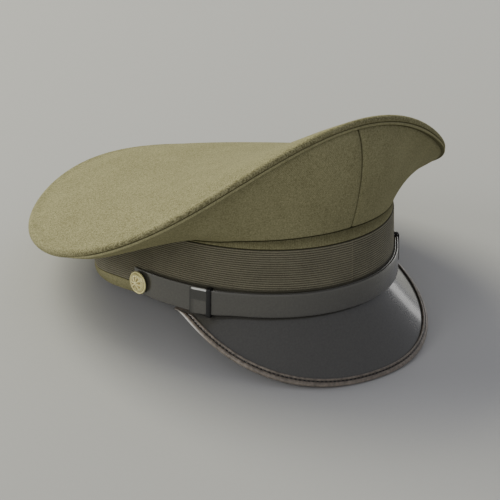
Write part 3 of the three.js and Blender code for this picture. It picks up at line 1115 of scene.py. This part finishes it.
    def _curve(self, turn: float) -> tuple[Vector, Vector, Vector, Vector]:
        """Draw a side panel's outer face at one turn.

        Args:
            turn: Degrees from the front.

        Returns:
            The four control points of its curve, from the band to the rim.
        """
        band = BAND.station(turn + self.seam_shift * bell(turn, self.seam_shift_width))
        rim, tuck = RIM.station(turn), self.tuck.at(turn)
        low = band.at(HEM_SWELL, BAND.braid_top + band.strip + GAP)
        seat = rim.foot + self.welt_height * rim.welt + 2 * GAP
        behind, tucked = self.behind(turn), self.tuck_out * tuck
        out = self.panel_out + tucked - (self.rear_in + tucked) * behind
        down = seat + tuck * self.panel_wall
        high = rim.at(out, down + (rim.foot + GAP - down) * behind)
        span = (high - low).length

        def lean(start: Vector, out: Vector, pull: float, angle: float) -> Vector:
            """Move a point out and up by a share of the span."""
            level = out * math.cos(math.radians(angle))
            return start + (level + Vector((0, 0, math.sin(math.radians(angle))))) * span * pull

        return (
            low,
            lean(low, band.out, self.low_pull.at(turn), self.low_lean.at(turn)),
            lean(high, rim.out, self.high_pull.at(turn), self.high_lean.at(turn)),
            high,
        )

    def _panel_turns(self, side: Side) -> list[float]:
        """Space one panel's sections, closer together at its seams.

        Args:
            side: The panel's side.

        Returns:
            Turns of the sections, rising.
        """
        seam = self.front_seam / 2 / math.radians(1) / BAND.half_length
        near = [seam + turn for turn in self.seam_turns]
        wide = turns_between(*self.wide_turns)
        turns = [*near, *wide, *(180 - turn for turn in reversed(near))]
        return turns if side is Side.LEFT else [-turn for turn in reversed(turns)]

    def _side_panel(self, side: Side) -> None:
        """Build one side panel, drawn in at its front and rear seams.

        Args:
            side: The panel's side.
        """
        turns = self._panel_turns(side)
        middle = (k / self.panel_rows for k in range(1, self.panel_rows))
        shares = [*self.panel_foot, *middle, *self.panel_head]
        rows, edges = [], []
        for turn in turns:
            low, low_pull, high_pull, high = self._curve(turn)
            reach = math.radians(min(abs(turn), 180 - abs(turn))) * BAND.half_length
            dip = BAND.station(turn).out * (self.seam_dip * bell(reach, self.seam_width))
            seam, span = bell(reach, self.seam_line_width), (high - low).length
            hidden = max(0.0, -self.tuck.at(turn)) * self.panel_wall
            rows.append([])
            edges.append([])
            for t in shares:
                rows[-1].append(
                    low * (1 - t) ** 3
                    + low_pull * 3 * t * (1 - t) ** 2
                    + high_pull * 3 * t * t * (1 - t)
                    + high * t**3
                    - dip
                )
                # Painted shade in the grooves at the panel's foot and head, and along the seams.
                foot = self.foot_line * bell(t * span, self.line_width)
                above = max(0.0, (1 - t) * span - hidden)
                head = self.head_line * bell(above, self.line_width)
                edges[-1].append(max(seam * (self.seam_line + self.seam_rise * t), foot, head))

        def mark(i: int, j: int) -> float:
            """Painted shade along the seams and in the grooves at the band and the rim."""
            return edges[i][min(j, 2 * len(shares) - 1 - j)]

        skin = Skin(walled(rows, self.panel_wall), tube=True, mark=mark)
        finish_piece(
            skin.lay(),
            "cloth_side_" + side.word,
            self.cloth,
            Part.CLOTH,
            "side_panel_" + side.word,
        )


@dataclass
class Band:
    """Head band of cloth with its hem and strip, and the ribbed braid laid round it.

    Attributes:
        joint_turn: Turn at which the braid's end is lapped over its start.
        joint_clear: Turns to each side of it that are left to closer sections.
        lap: How far the lapped end stands out.
        lap_turns: Turns before the joint between which it comes to stand out.
        covered_turns: Turns between which the hem comes out from behind the peak.
        covered_heights: Heights between which the peak's shade on the hem ends.
        shadow: Darkness of the strap's shade on the braid.
        shadow_height: Height over the hem's top at which it is darkest.
        shadow_turns: Turns between which it ends.
    """

    cloth: bpy.types.Material
    braid: bpy.types.Material
    wall: float = 2.0
    hem_round: float = 0.35
    rib_pitch: float = 1.35
    rib_depth: float = 0.42
    rib_points: int = 5
    rib_power: float = 0.8
    ring_step: float = 1.5
    joint_turn: float = 1.3
    joint_clear: float = 0.9
    joint_turns: tuple[float, ...] = (-0.6, -0.2, -0.06, 0.06, 0.2, 0.6)
    joint_light: float = 0.7
    joint_width: float = 0.15
    lap: float = 0.35
    lap_turns: tuple[float, float] = (5, 1)
    line_dark: float = 0.8
    line_width: float = 0.4
    covered_turns: tuple[float, float] = (66, 72)
    covered_heights: tuple[float, float] = (3.2, 4.2)
    foot_shade: float = 0.2
    foot_heights: tuple[float, float] = (1, 6)
    shadow: float = 0.95
    shadow_height: float = 18.9
    shadow_width: float = 1.6
    shadow_reach: float = 3.0
    shadow_turns: tuple[float, float] = (80, 86)

    def build(self) -> None:
        """Build the two pieces."""
        self._head_band()
        self._braid_band()

    def _ring_turns(self) -> list[float]:
        """Space the sections round the band, closer together at the front joint.

        Returns:
            Their turns, rising.
        """
        turns = turns_round(self.ring_step)
        wide = [turn for turn in turns if abs(turn - self.joint_turn) > self.joint_clear]
        return sorted([*wide, *(self.joint_turn + turn for turn in self.joint_turns)])

    def _head_band(self) -> None:
        """Cloth band, rounded over at its hem and its strip."""
        rows, marks = [], []
        for turn in self._ring_turns():
            band = BAND.station(turn)
            top, hem, foot = BAND.braid_top + band.strip, band.hem, band.foot
            outline = rounded(
                [
                    (-self.wall, foot, 0.7),
                    (HEM_SWELL + 0.1, foot, 0.9),
                    (HEM_SWELL + self.hem_round, (foot + hem) * 0.5, 1.6),
                    (HEM_SWELL, hem - GAP, 0.5),
                    (0, hem, 0.2),
                    (0, BAND.braid_top, 0.2),
                    (HEM_SWELL, BAND.braid_top + GAP, 0.3),
                    (HEM_SWELL, top, 0.3),
                    (-self.wall, top, 0.3),
                ]
            )
            rows.append([band.at(out, height) for out, height in outline])
            # Painted shade: dark lines in the grooves at the hem's top, the braid's top and the
            # strip's top, the peak's shadow on the hem, and the hem darker towards its foot.
            covered = 1 - smooth_share(abs(turn), *self.covered_turns)
            marks.append([])
            for _, height in outline:
                lines = (hem, BAND.braid_top, top)
                near = (bell(height - line, self.line_width) for line in lines)
                behind_peak = covered * (1 - smooth_share(height, *self.covered_heights))
                shade = self.foot_shade * (1 - smooth_share(height, *self.foot_heights))
                marks[-1].append(max(self.line_dark * max(near), behind_peak, shade))
        skin = Skin(rows, ring=True, tube=True, mark=lambda i, j: marks[i][j], rest=True)
        finish_piece(skin.lay(), "cloth_band", self.cloth, Part.CLOTH, "head_band")

    def _braid_band(self) -> None:
        """Braid with rows of ribs, its end lapped over its start at the front."""
        span = BAND.braid_top - BAND.hem_height - 2 * GAP
        ribs = round(span / self.rib_pitch)
        shares = [k / (ribs * self.rib_points) for k in range(ribs * self.rib_points + 1)]
        crests = [abs(math.sin(math.pi * ribs * share)) ** self.rib_power for share in shares]
        turns = self._ring_turns()
        starts = [self.joint_turn - turn for turn in self.lap_turns]
        rows = []
        for turn in turns:
            band = BAND.station(turn)
            foot, head = band.hem + GAP, BAND.braid_top - GAP
            lift = self.lap * smooth_share(turn, *starts) if turn < self.joint_turn else 0.0
            face = GAP + BRAID_THICKNESS + lift - self.rib_depth
            outer = [
                band.at(face + self.rib_depth * crest, foot + (head - foot) * share)
                for share, crest in zip(shares, crests)
            ]
            rows.append([*outer, band.at(GAP, head), band.at(GAP, foot)])
        away = [turn - self.joint_turn for turn in turns]
        joint = [self.joint_light * bell(turn, self.joint_width) for turn in away]

        def mark(i: int, j: int) -> float:
            """Paint shade on the braid between its ribs, where it lies against the band and in the
            strap's shadow above the strap.

            Args:
                i: The section.
                j: The point in it.

            Returns:
                The mark, under zero in a light line along the joint.
            """
            # Painted shade on the back, where the braid lies against the band.
            if j >= len(crests):
                return 1.0
            foot = BAND.station(turns[i]).hem
            over = foot + (BAND.braid_top - foot) * shares[j] - self.shadow_height
            covered = 1 - smooth_share(abs(turns[i]), *self.shadow_turns)
            shadow = self.shadow * covered * bell(max(over, 0.0), self.shadow_width)
            return max(1 - crests[j], shadow if over > -self.shadow_reach else 0.0) - joint[i]

        skin = Skin(rows, ring=True, tube=True, mark=mark)
        finish_piece(skin.lay(), "ribbed_braid", self.braid, Part.BRAID, "braid_band")


@dataclass
class Peak:
    """Sloping patent peak with a bound and stitched edge.

    Attributes:
        half_turn: Turn of each of its corners.
        slope: Degrees that its front falls, less by slope_fall at the corners.
        depth_powers: Two powers of the curve of its depth from the front to the corners.
        root_height: How high its root stands on the band at the front.
        highlight_turn: Turn about which the painted highlight on the binding's outer edge is
            brightest.
    """

    patent: bpy.types.Material
    binding: bpy.types.Material
    half_turn: float = 71.4
    depth: float = 44.9
    slope: float = 50.9
    slope_fall: float = 16.6
    depth_powers: tuple[float, float] = (2.54, 1.35)
    root_height: float = 3.5
    root_out: float = 0.4
    wall: float = 1.8
    least_length: float = 0.2
    upper_rows: int = 26
    lower_rows: int = 13
    step: float = 1.5
    facing_share: float = 6.0
    facing_turn: float = 0.3
    edge_turn: float = 0.5
    binding_width: float = 4.8
    binding_wall: float = 0.9
    groove: float = 0.55
    stitch_place: float = 0.62
    stitch_width: float = 0.1
    highlight_turn: float = 64.0
    highlight_width: float = 6.0
    highlight_corner: float = 1.3
    highlight_all: float = 0.2
    highlight_depth: float = 0.9

    def build(self) -> None:
        """Build the two pieces."""
        self._sheet()
        self._bound_edge()

    def _ruling(self, turn: float) -> tuple[Vector, Vector, float]:
        """Draw the straight line down the peak at a turn.

        Args:
            turn: Degrees from the front.

        Returns:
            The line's start, direction and length.
        """
        share = min(abs(turn) / self.half_turn, 1.0)
        slope = math.radians(self.slope - self.slope_fall * share * share)
        along, down = self.depth_powers
        depth_share = (1 - share**along) ** down
        band = BAND.station(turn)
        fall = band.out * math.cos(slope) - Vector((0, 0, math.sin(slope)))
        edge = band.at(self.root_out, 0) + fall * self.depth * depth_share
        root_share = 1 - (1 - depth_share) ** 2
        base = band.at(self.root_out, self.root_height * root_share)
        length = (edge - base).length
        return base, (edge - base).normalized() if length > 0 else fall, length

    def _at(self, turn: float, reach: float) -> Vector:
        """Point of the upper face at a reach down its ruling."""
        base, run, _ = self._ruling(turn)
        return base + run * reach

    def _edge(self, turn: float) -> Vector:
        """Point of the peak's outer edge, at the end of its ruling."""
        return self._at(turn, self._ruling(turn)[2])

    def _out(self, turn: float) -> Vector:
        """Find which way the upper face looks.

        Args:
            turn: Degrees from the front.

        Returns:
            Direction out of the face.
        """
        reach, near = self.depth / self.facing_share, self.facing_turn
        along = self._at(turn + near, reach) - self._at(turn - near, reach)
        out = along.cross(self._ruling(turn)[1]).normalized()
        return out if out.z > 0 else -out

    def _turns(self) -> list[float]:
        """Turns of the sections from one corner to the other."""
        return turns_between(-self.half_turn, self.half_turn, self.step)

    def _sheet(self) -> None:
        """Patent sheet up to its bound edge."""
        rows = []
        clear = HEM_SWELL + GAP - self.root_out
        for turn in self._turns():
            out, (_, run, length) = self._out(turn), self._ruling(turn)
            end = max(length - GAP - self.binding_wall, self.least_length)
            level = math.hypot(run.x, run.y)
            top = min(clear / level, end)
            under = min((clear - self.wall * run.z) / level, end)
            rows.append([])
            for k in range(self.upper_rows + 1):
                rows[-1].append(self._at(turn, top + (end - top) * k / self.upper_rows))
            for k in range(self.lower_rows + 1):
                reach = end + (under - end) * k / self.lower_rows
                rows[-1].append(self._at(turn, reach) - out * self.wall)
        work = Skin(rows, tube=True, rest=True).lay()
        finish_piece(work, "peak_patent", self.patent, Part.PATENT, "peak")

    def _bound_edge(self) -> None:
        """Leather bound over the edge, with a groove and a sunk row of stitches."""
        cover, under, turned = GAP + self.binding_wall, self.wall + GAP, self.binding_wall
        width, low, bed = self.binding_width, -(self.wall + GAP + turned), cover - self.groove
        outline = rounded(
            [
                (width, GAP, 0.1),
                (width, cover, 0.5),
                (width * 0.80, cover + 0.1, 0.4),
                (width * 0.68, bed, 0.3),
                (width * 0.56, bed, 0.3),
                (width * 0.44, cover + 0.1, 0.5),
                (0, cover, 1.2),
                (0, low, 1.2),
                (width, low, 0.4),
                (width, -under, 0.1),
                (turned, -under, 0.1),
                (turned, GAP, 0.1),
            ]
        )
        rows, turns = [], self._turns()
        for turn in turns:
            after = self._edge(min(turn + self.edge_turn, self.half_turn))
            before = self._edge(max(turn - self.edge_turn, -self.half_turn))
            here, out = self._edge(turn), self._out(turn)
            inward = (after - before).normalized().cross(out).normalized()
            inward = -inward if inward.dot(self._ruling(turn)[1]) > 0 else inward
            rows.append([here + inward * depth + out * height for depth, height in outline])
        sunk, rim = [], []
        for depth, height in outline:
            stitched = abs(depth - width * self.stitch_place) < width * self.stitch_width
            sunk.append(1.0 if stitched and height > 0 else 0.0)
            # Share of the painted highlight along the binding's outer edge.
            rim.append(bell(depth, self.highlight_depth) * smooth_share(height, low, cover))

        def mark(i: int, j: int) -> float:
            """Dark along the stitches, with a painted highlight along the outer edge, brightest
            near the corners.
            """
            corner = bell(abs(turns[i]) - self.highlight_turn, self.highlight_width)
            return sunk[j] - rim[j] * (self.highlight_all + self.highlight_corner * corner)

        work = Skin(rows, tube=True, mark=mark, rest=True).lay()
        self._cut_under_band(work)
        finish_piece(work, "peak_edge", self.binding, Part.BINDING, "peak_binding")

    def _cut_under_band(self, work: bmesh.types.BMesh) -> None:
        """Cut off what would stand up inside the head band, and close the cut.

        Args:
            work: The mesh, in metres on the floor.
        """
        bmesh.ops.bisect_plane(
            work,
            geom=[*work.verts, *work.edges, *work.faces],
            plane_co=LIE @ Vector((0, 0, -GAP)),
            plane_no=(LIE.to_3x3() @ Vector((0, 0, 1))).normalized(),
            clear_outer=True,
            dist=CUT_DISTANCE,
        )
        close_ends(work)


@dataclass
class ChinStrap:
    """Patent strap in two lapped lengths with a keeper at each lap.

    Attributes:
        lap_lift: How far the upper length's free end stands out.
        settle_turns: Turns past the lap between which the upper length comes to lie flat.
        loose_turns: Turns before that end over which it comes to stand out.
        keeper_reach: Turns over which the strap rises over a keeper's back.
        hang: Thicknesses by which the lower edge hangs down.
        rim_highlight: Strength of the painted highlight along the upper edge.
        tab_highlight: How much stronger it is between the near keeper and the free end.
        shaded_tab: Darkness of the painted shade on the strap there.
    """

    patent: bpy.types.Material
    keeper_leather: bpy.types.Material
    thickness: float = 1.1
    lap_lift: float = 0.7
    top: float = 18.8
    width: float = 15.2
    edge_round: float = 1.6
    edge_in: float = 0.08
    shade_line: float = 7.5
    end_turn: float = 88.5
    lap_turn: float = 63.7
    settle_turns: tuple[float, float] = (2, 14)
    loose_turns: float = 5.0
    step: float = 1.0
    rim_highlight: float = 0.4
    tab_highlight: float = 2.5
    highlight_depths: tuple[float, float] = (0.6, 1.5)
    shaded_tab: float = 0.6
    shaded_depths: tuple[float, float] = (7, 8)
    end_width: float = 0.8
    keeper_turn: float = 56.3
    keeper_reach: float = 6.0
    keeper_width: float = 2.9
    keeper_height: float = 19.0
    keeper_wall: float = 0.9
    keeper_drop: float = 0.7
    keeper_corner: float = 1.0
    keeper_bevel: float = 0.25
    hang: TurnTable = TurnTable(
        (0, 45, 56, 62, 70, 78, 88, 90), (0, 0, 0.9, 1.6, 1.3, 1.2, 0.4, 0.2)
    )

    def build(self) -> None:
        """Build the two lengths and the two keepers."""
        for layer in StrapLayer:
            self._length(layer)
        for side in Side:
            self._keeper(side)

    def back(self, turn: float) -> float:
        """Find where the strap's back lies.

        Args:
            turn: Degrees from the front.

        Returns:
            How far the back stands out of the band's oval.
        """
        away = (abs(turn) - self.keeper_turn) / self.keeper_reach
        lift = (self.keeper_wall + GAP) * bell(away, 1.0)
        return GAP + BRAID_THICKNESS + GAP + lift

    def _length(self, layer: StrapLayer) -> None:
        """Build one length of strap with softly rounded edges.

        Args:
            layer: Which of the two lengths.
        """
        upper = layer is StrapLayer.UPPER
        first, last = (self.lap_turn, self.end_turn) if upper else (self.end_turn, self.lap_turn)
        settled = [self.lap_turn + turn for turn in self.settle_turns]
        rows, marks = [], []
        for turn in turns_between(-first, last, self.step):
            band, back = BAND.station(turn), self.back(turn)
            if upper:
                back += (self.thickness + GAP) * (1 - smooth_share(turn, *settled))
            over = smooth_share(abs(turn), self.lap_turn - self.loose_turns, self.lap_turn)
            back += self.lap_lift * (over if upper and turn < 0 else 0.0)
            foot = self.top - self.width - self.thickness * self.hang.at(turn)
            face = back + self.thickness
            outline = rounded(
                [
                    (back, foot, 0.15),
                    (face - self.edge_in, foot, 0.45),
                    (face, foot + self.edge_round, 0.9),
                    (face, self.top - self.shade_line, 1.0),
                    (face, self.top - self.edge_round, 0.9),
                    (face - self.edge_in, self.top, 0.45),
                    (back, self.top, 0.15),
                ]
            )
            rows.append([band.at(out, height) for out, height in outline])
            # Painted shadow in a dark line at the upper length's free end, painted shade on it
            # between the near keeper and that end, and a painted highlight along the upper edge,
            # stronger there.
            end = abs(turn + self.lap_turn) if upper else math.inf
            tab = smooth_share(-turn, self.keeper_turn, self.keeper_turn + 1) if upper else 0.0
            dark = bell(end, self.step * self.end_width)
            marks.append([])
            for _, height in outline:
                below = self.top - height
                rim = 1 - smooth_share(below, *self.highlight_depths)
                shaded = self.shaded_tab * tab * (1 - smooth_share(below, *self.shaded_depths))
                # Strength of the painted highlight along the upper edge.
                bright = (self.rim_highlight + self.tab_highlight * tab) * rim
                marks[-1].append(max(dark, shaded * (1 - rim)) - bright * (1 - dark))
        work = Skin(rows, tube=True, mark=lambda i, j: marks[i][j]).lay()
        finish_piece(work, layer.value + "_patent", self.patent, Part.PATENT, layer.value)

    def _keeper(self, side: Side) -> None:
        """Build the flat loop round both lengths of strap.

        Args:
            side: The keeper's side.
        """
        turn = side.value * self.keeper_turn
        half = self.keeper_width / 2 / math.radians(1) / BAND.half_length
        back = self.back(turn) - GAP - self.keeper_wall / 2
        face = back + (2 * self.thickness + 3 * GAP + self.keeper_wall)
        tall = self.keeper_height / 2 - self.keeper_wall / 2
        middle = self.top - self.width / 2 - self.keeper_drop
        foot, head, corner = middle - tall, middle + tall, self.keeper_corner
        path = rounded(
            [
                (back, foot, corner),
                (face, foot, corner),
                (face, head, corner),
                (back, head, corner),
            ],
            steps=4,
        )
        stations = [BAND.station(turn + half * place) for place in (-1, -0.8, 0.8, 1)]
        bevels = (self.keeper_bevel, 0.0, 0.0, self.keeper_bevel)
        rows = []
        for i, (out, height) in enumerate(path):
            before, after = path[i - 1], path[(i + 1) % len(path)]
            away = Vector((after[1] - before[1], before[0] - after[0])).normalized()
            section = []
            for sign, order in ((1, (0, 1, 2, 3)), (-1, (3, 2, 1, 0))):
                for k in order:
                    wall = self.keeper_wall / 2 - bevels[k]
                    place = Vector((out, height)) + away * wall * sign
                    section.append(stations[k].at(place.x, place.y))
            rows.append(section)
        work = Skin(rows, ring=True, tube=True).lay()
        name = "strap_keeper_" + side.word
        finish_piece(work, name + "_loop", self.keeper_leather, Part.PATENT, name)


@dataclass
class SideButton:
    """Small domed gilt button with a beaded ring and a plain rosette of leaves.

    Attributes:
        shank: Height of the narrow foot that the dome stands on.
        shank_share: Its radius as a share of the button's.
        profile: Half section of the dome, in shares of its radius and its height.
        plain_share: Share of the dome's height under which nothing is stamped.
        relief: Height of the leaves.
        leaf_root, leaf_tip: Shares of the radius between which a leaf begins and ends.
        bead_ring: Share of the radius at which the beads lie.
        rim_ring: Share of the radius of the groove within the rim.
    """

    gilt: bpy.types.Material
    side: Side
    strap: ChinStrap
    turn: float = 85.6
    height: float = 10.6
    radius: float = 7.2
    shank: float = 1.3
    shank_share: float = 0.3
    dome: float = 2.8
    steps: int = 96
    leaves: int = 8
    beads: int = 32
    plain_share: float = 0.3
    relief: float = 0.55
    leaf_root: tuple[float, float] = (0.1, 0.25)
    leaf_tip: tuple[float, float] = (0.52, 0.66)
    leaf_sink: float = 0.3
    bead_ring: float = 0.72
    bead_width: float = 0.05
    bead_height: float = 0.6
    knob_height: float = 0.8
    knob_share: float = 0.1
    rim_ring: float = 0.85
    rim_width: float = 0.03
    merge: float = 1e-4
    profile: tuple[tuple[float, float], ...] = (
        (0.86, 0.0),
        (0.95, 0.03),
        (1.0, 0.12),
        (1.0, 0.3),
        (0.975, 0.39),
        (0.93, 0.42),
        (0.88, 0.40),
        (0.85, 0.36),
        (0.82, 0.40),
        (0.78, 0.50),
        (0.74, 0.57),
        (0.70, 0.64),
        (0.65, 0.71),
        (0.60, 0.77),
        (0.54, 0.82),
        (0.48, 0.87),
        (0.41, 0.91),
        (0.34, 0.94),
        (0.27, 0.965),
        (0.20, 0.98),
        (0.14, 0.99),
        (0.07, 0.995),
        (0.0, 1.0),
    )

    def build(self) -> None:
        """Build the button on the end of the strap."""
        work = bmesh.new()
        shank = [(0.0, 0.0), (self.shank_share, 0.0), (self.shank_share, self.shank)]
        dome = [(share, self.shank + up * self.dome) for share, up in self.profile]
        line = [work.verts.new((share * self.radius, 0, up)) for share, up in [*shank, *dome]]
        edges = [work.edges.new(pair) for pair in zip(line, line[1:])]
        bmesh.ops.spin(
            work,
            geom=[*line, *edges],
            axis=(0, 0, 1),
            cent=(0, 0, 0),
            angle=math.tau,
            steps=self.steps,
            use_merge=True,
            use_duplicate=False,
        )
        bmesh.ops.remove_doubles(work, verts=work.verts, dist=self.merge)
        bmesh.ops.recalc_face_normals(work, faces=work.faces)
        self._stamp(work)
        band = BAND.station(self.side.value * self.turn)
        seat = self.strap.back(self.turn) + self.strap.thickness + GAP
        facing = Vector((0, 0, 1)).rotation_difference(band.out).to_matrix().to_4x4()
        place = LIE @ Matrix.Translation(band.at(seat, self.height)) @ facing
        bmesh.ops.transform(work, matrix=place, verts=work.verts)
        name = "button_" + self.side.word
        finish_piece(work, name + "_gilt", self.gilt, Part.GILT, name)

    def _stamp(self, work: bmesh.types.BMesh) -> None:
        """Raise the leaves and the beads, and mark what lies between them.

        Args:
            work: The plain button, in millimetres, facing up.
        """
        marks = work.verts.layers.float.new("mark")
        for vert in work.verts:
            if vert.co.z < self.shank + self.plain_share * self.dome:
                continue
            reach = math.hypot(vert.co.x, vert.co.y) / self.radius
            angle = math.atan2(vert.co.y, vert.co.x)
            leaf = 0.5 + 0.5 * math.cos(self.leaves * angle)
            bead = 0.5 + 0.5 * math.cos(self.beads * angle)
            tip = 1 - smooth_share(reach, *self.leaf_tip)
            inside = smooth_share(reach, *self.leaf_root) * tip
            ring = bell(reach - self.bead_ring, self.bead_width)
            knob = self.knob_height * bell(reach, self.knob_share)
            raised = leaf * inside + bead * ring * self.bead_height + knob
            vert.co.z += self.relief * (raised - self.leaf_sink * inside)
            groove = bell(reach - self.rim_ring, self.rim_width)
            low = (1 - leaf) * inside + (1 - bead) * ring * self.bead_height + groove
            vert[marks] = min(1.0, low)


@dataclass
class SoftLight:
    """A large soft light.

    Attributes:
        name: The light's name.
        place: Where it hangs, in metres.
        width: Its width and height in metres.
        power: Its power in watts.
        colour: Its colour.
        aim: What it points at.
    """

    name: str
    place: tuple[float, float, float]
    width: tuple[float, float]
    power: float
    colour: Colour = (1.0, 0.985, 0.96)
    aim: tuple[float, float, float] = (0.0, 0.0, 0.07)

    def hang(self) -> None:
        """Add the light to the scene."""
        lamp = bpy.data.lights.new(self.name, "AREA")
        lamp.shape = "RECTANGLE"
        lamp.size, lamp.size_y = self.width
        lamp.energy = self.power
        lamp.color = self.colour
        holder = bpy.data.objects.new(self.name, lamp)
        way = Vector(self.aim) - Vector(self.place)
        turned = way.to_track_quat("-Z", "Y").to_matrix().to_4x4()
        holder.matrix_world = Matrix.Translation(self.place) @ turned
        bpy.context.scene.collection.objects.link(holder)


@dataclass
class Studio:
    """Pale floor, soft lights and the camera.

    Attributes:
        azimuth: Degrees from the cap's front to its right, where the camera stands.
        distance: Millimetres from the middle of the band's plane to the camera.
        focal: Focal length in pixels of the image.
        image: Width of the image in pixels.
        sensor: Width of the camera's sensor in millimetres.
        centre: Pixels by which the picture's middle is shifted.
    """

    azimuth: float = 37.83
    elevation: float = 22.54
    roll: float = 0.17
    distance: float = 1762.22
    focal: float = 2748.42
    image: float = 500.0
    sensor: float = 36.0
    centre: tuple[float, float] = (-4.72, 9.71)
    clip: tuple[float, float] = (0.05, 50.0)
    floor_size: float = 6.0
    sky: float = 0.31
    sky_colour: tuple[float, float, float, float] = (0.95, 0.97, 1.06, 1.0)
    lights: list[SoftLight] = field(
        default_factory=lambda: [
            SoftLight("light_behind", (-0.45, 1.35, 1.45), (1.4, 1.2), 36.5, (1.0, 0.98, 0.76)),
            SoftLight("light_front", (-1.5, -1.7, 1.3), (1.8, 1.2), 5.0),
            SoftLight("light_right", (-1.8, -0.3, 0.9), (0.8, 0.8), 5.5),
            SoftLight("light_left", (1.5, 0.7, 0.5), (1.3, 0.8), 6.5),
            SoftLight("light_glint", (-1.5, 1.15, 0.5), (0.6, 0.5), 10.0),
        ]
    )

    def build(self) -> None:
        """Lay the floor, hang the lights and set the camera."""
        self._camera()
        self._floor()
        for light in self.lights:
            light.hang()
        world = bpy.data.worlds.new("studio")
        world.use_nodes = True
        sky = world.node_tree.nodes["Background"]
        sky.inputs["Color"].default_value = self.sky_colour
        sky.inputs["Strength"].default_value = self.sky
        bpy.context.scene.world = world

    def _floor(self) -> None:
        """Plain floor under the cap."""
        work = bmesh.new()
        bmesh.ops.create_grid(work, x_segments=1, y_segments=1, size=self.floor_size / 2)
        mesh = bpy.data.meshes.new("floor")
        work.to_mesh(mesh)
        work.free()
        mesh.materials.append(PaleFloor().material())
        floor = bpy.data.objects.new("floor", mesh)
        bpy.context.scene.collection.objects.link(floor)

    def _camera(self) -> None:
        """Camera at the photograph's angle, distance and framing."""
        phi, high = math.radians(self.azimuth), math.radians(self.elevation)
        level_back = Vector((-math.sin(phi), -math.cos(phi), 0)) * math.cos(high)
        back = level_back + Vector((0, 0, math.sin(high)))
        level = Vector((math.cos(phi), -math.sin(phi), 0))
        upright = back.cross(level)
        rho = math.radians(self.roll)
        right = level * math.cos(rho) + upright * math.sin(rho)
        up = upright * math.cos(rho) - level * math.sin(rho)
        turned = LIE.to_3x3() @ Matrix((right, up, back)).transposed()
        place = LIE @ (back * self.distance)
        lens = bpy.data.cameras.new("camera")
        lens.sensor_width = self.sensor
        lens.lens = self.focal / self.image * self.sensor
        lens.shift_x = -self.centre[0] / self.image
        lens.shift_y = self.centre[1] / self.image
        lens.clip_start, lens.clip_end = self.clip
        camera = bpy.data.objects.new("camera", lens)
        camera.matrix_world = Matrix.Translation(place) @ turned.normalized().to_4x4()
        bpy.context.scene.collection.objects.link(camera)
        bpy.context.scene.camera = camera


def main() -> None:
    """Build the cap and its studio."""
    logging.basicConfig(level=logging.INFO, format="%(name)s: %(message)s")
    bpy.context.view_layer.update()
    Studio().build()
    top_cloth = WoolTwill("wool_twill_top", contrast=1.3).material()
    cloth = WoolTwill("wool_twill").material()
    patent = PatentLeather().material()
    Crown(top_cloth, cloth).build()
    Band(cloth, RibbedBraid().material()).build()
    Peak(patent, BoundEdge().material()).build()
    keeper_black = PatentLeather(
        "keeper_black", (0.003, 0.003, 0.003), (0.006, 0.006, 0.006), gloss=0.5, coat=0.0
    )
    strap = ChinStrap(patent, keeper_black.material())
    strap.build()
    gilt = GiltMetal().material()
    for side in Side:
        SideButton(gilt, side, strap).build()


if __name__ == "__main__":
    main()
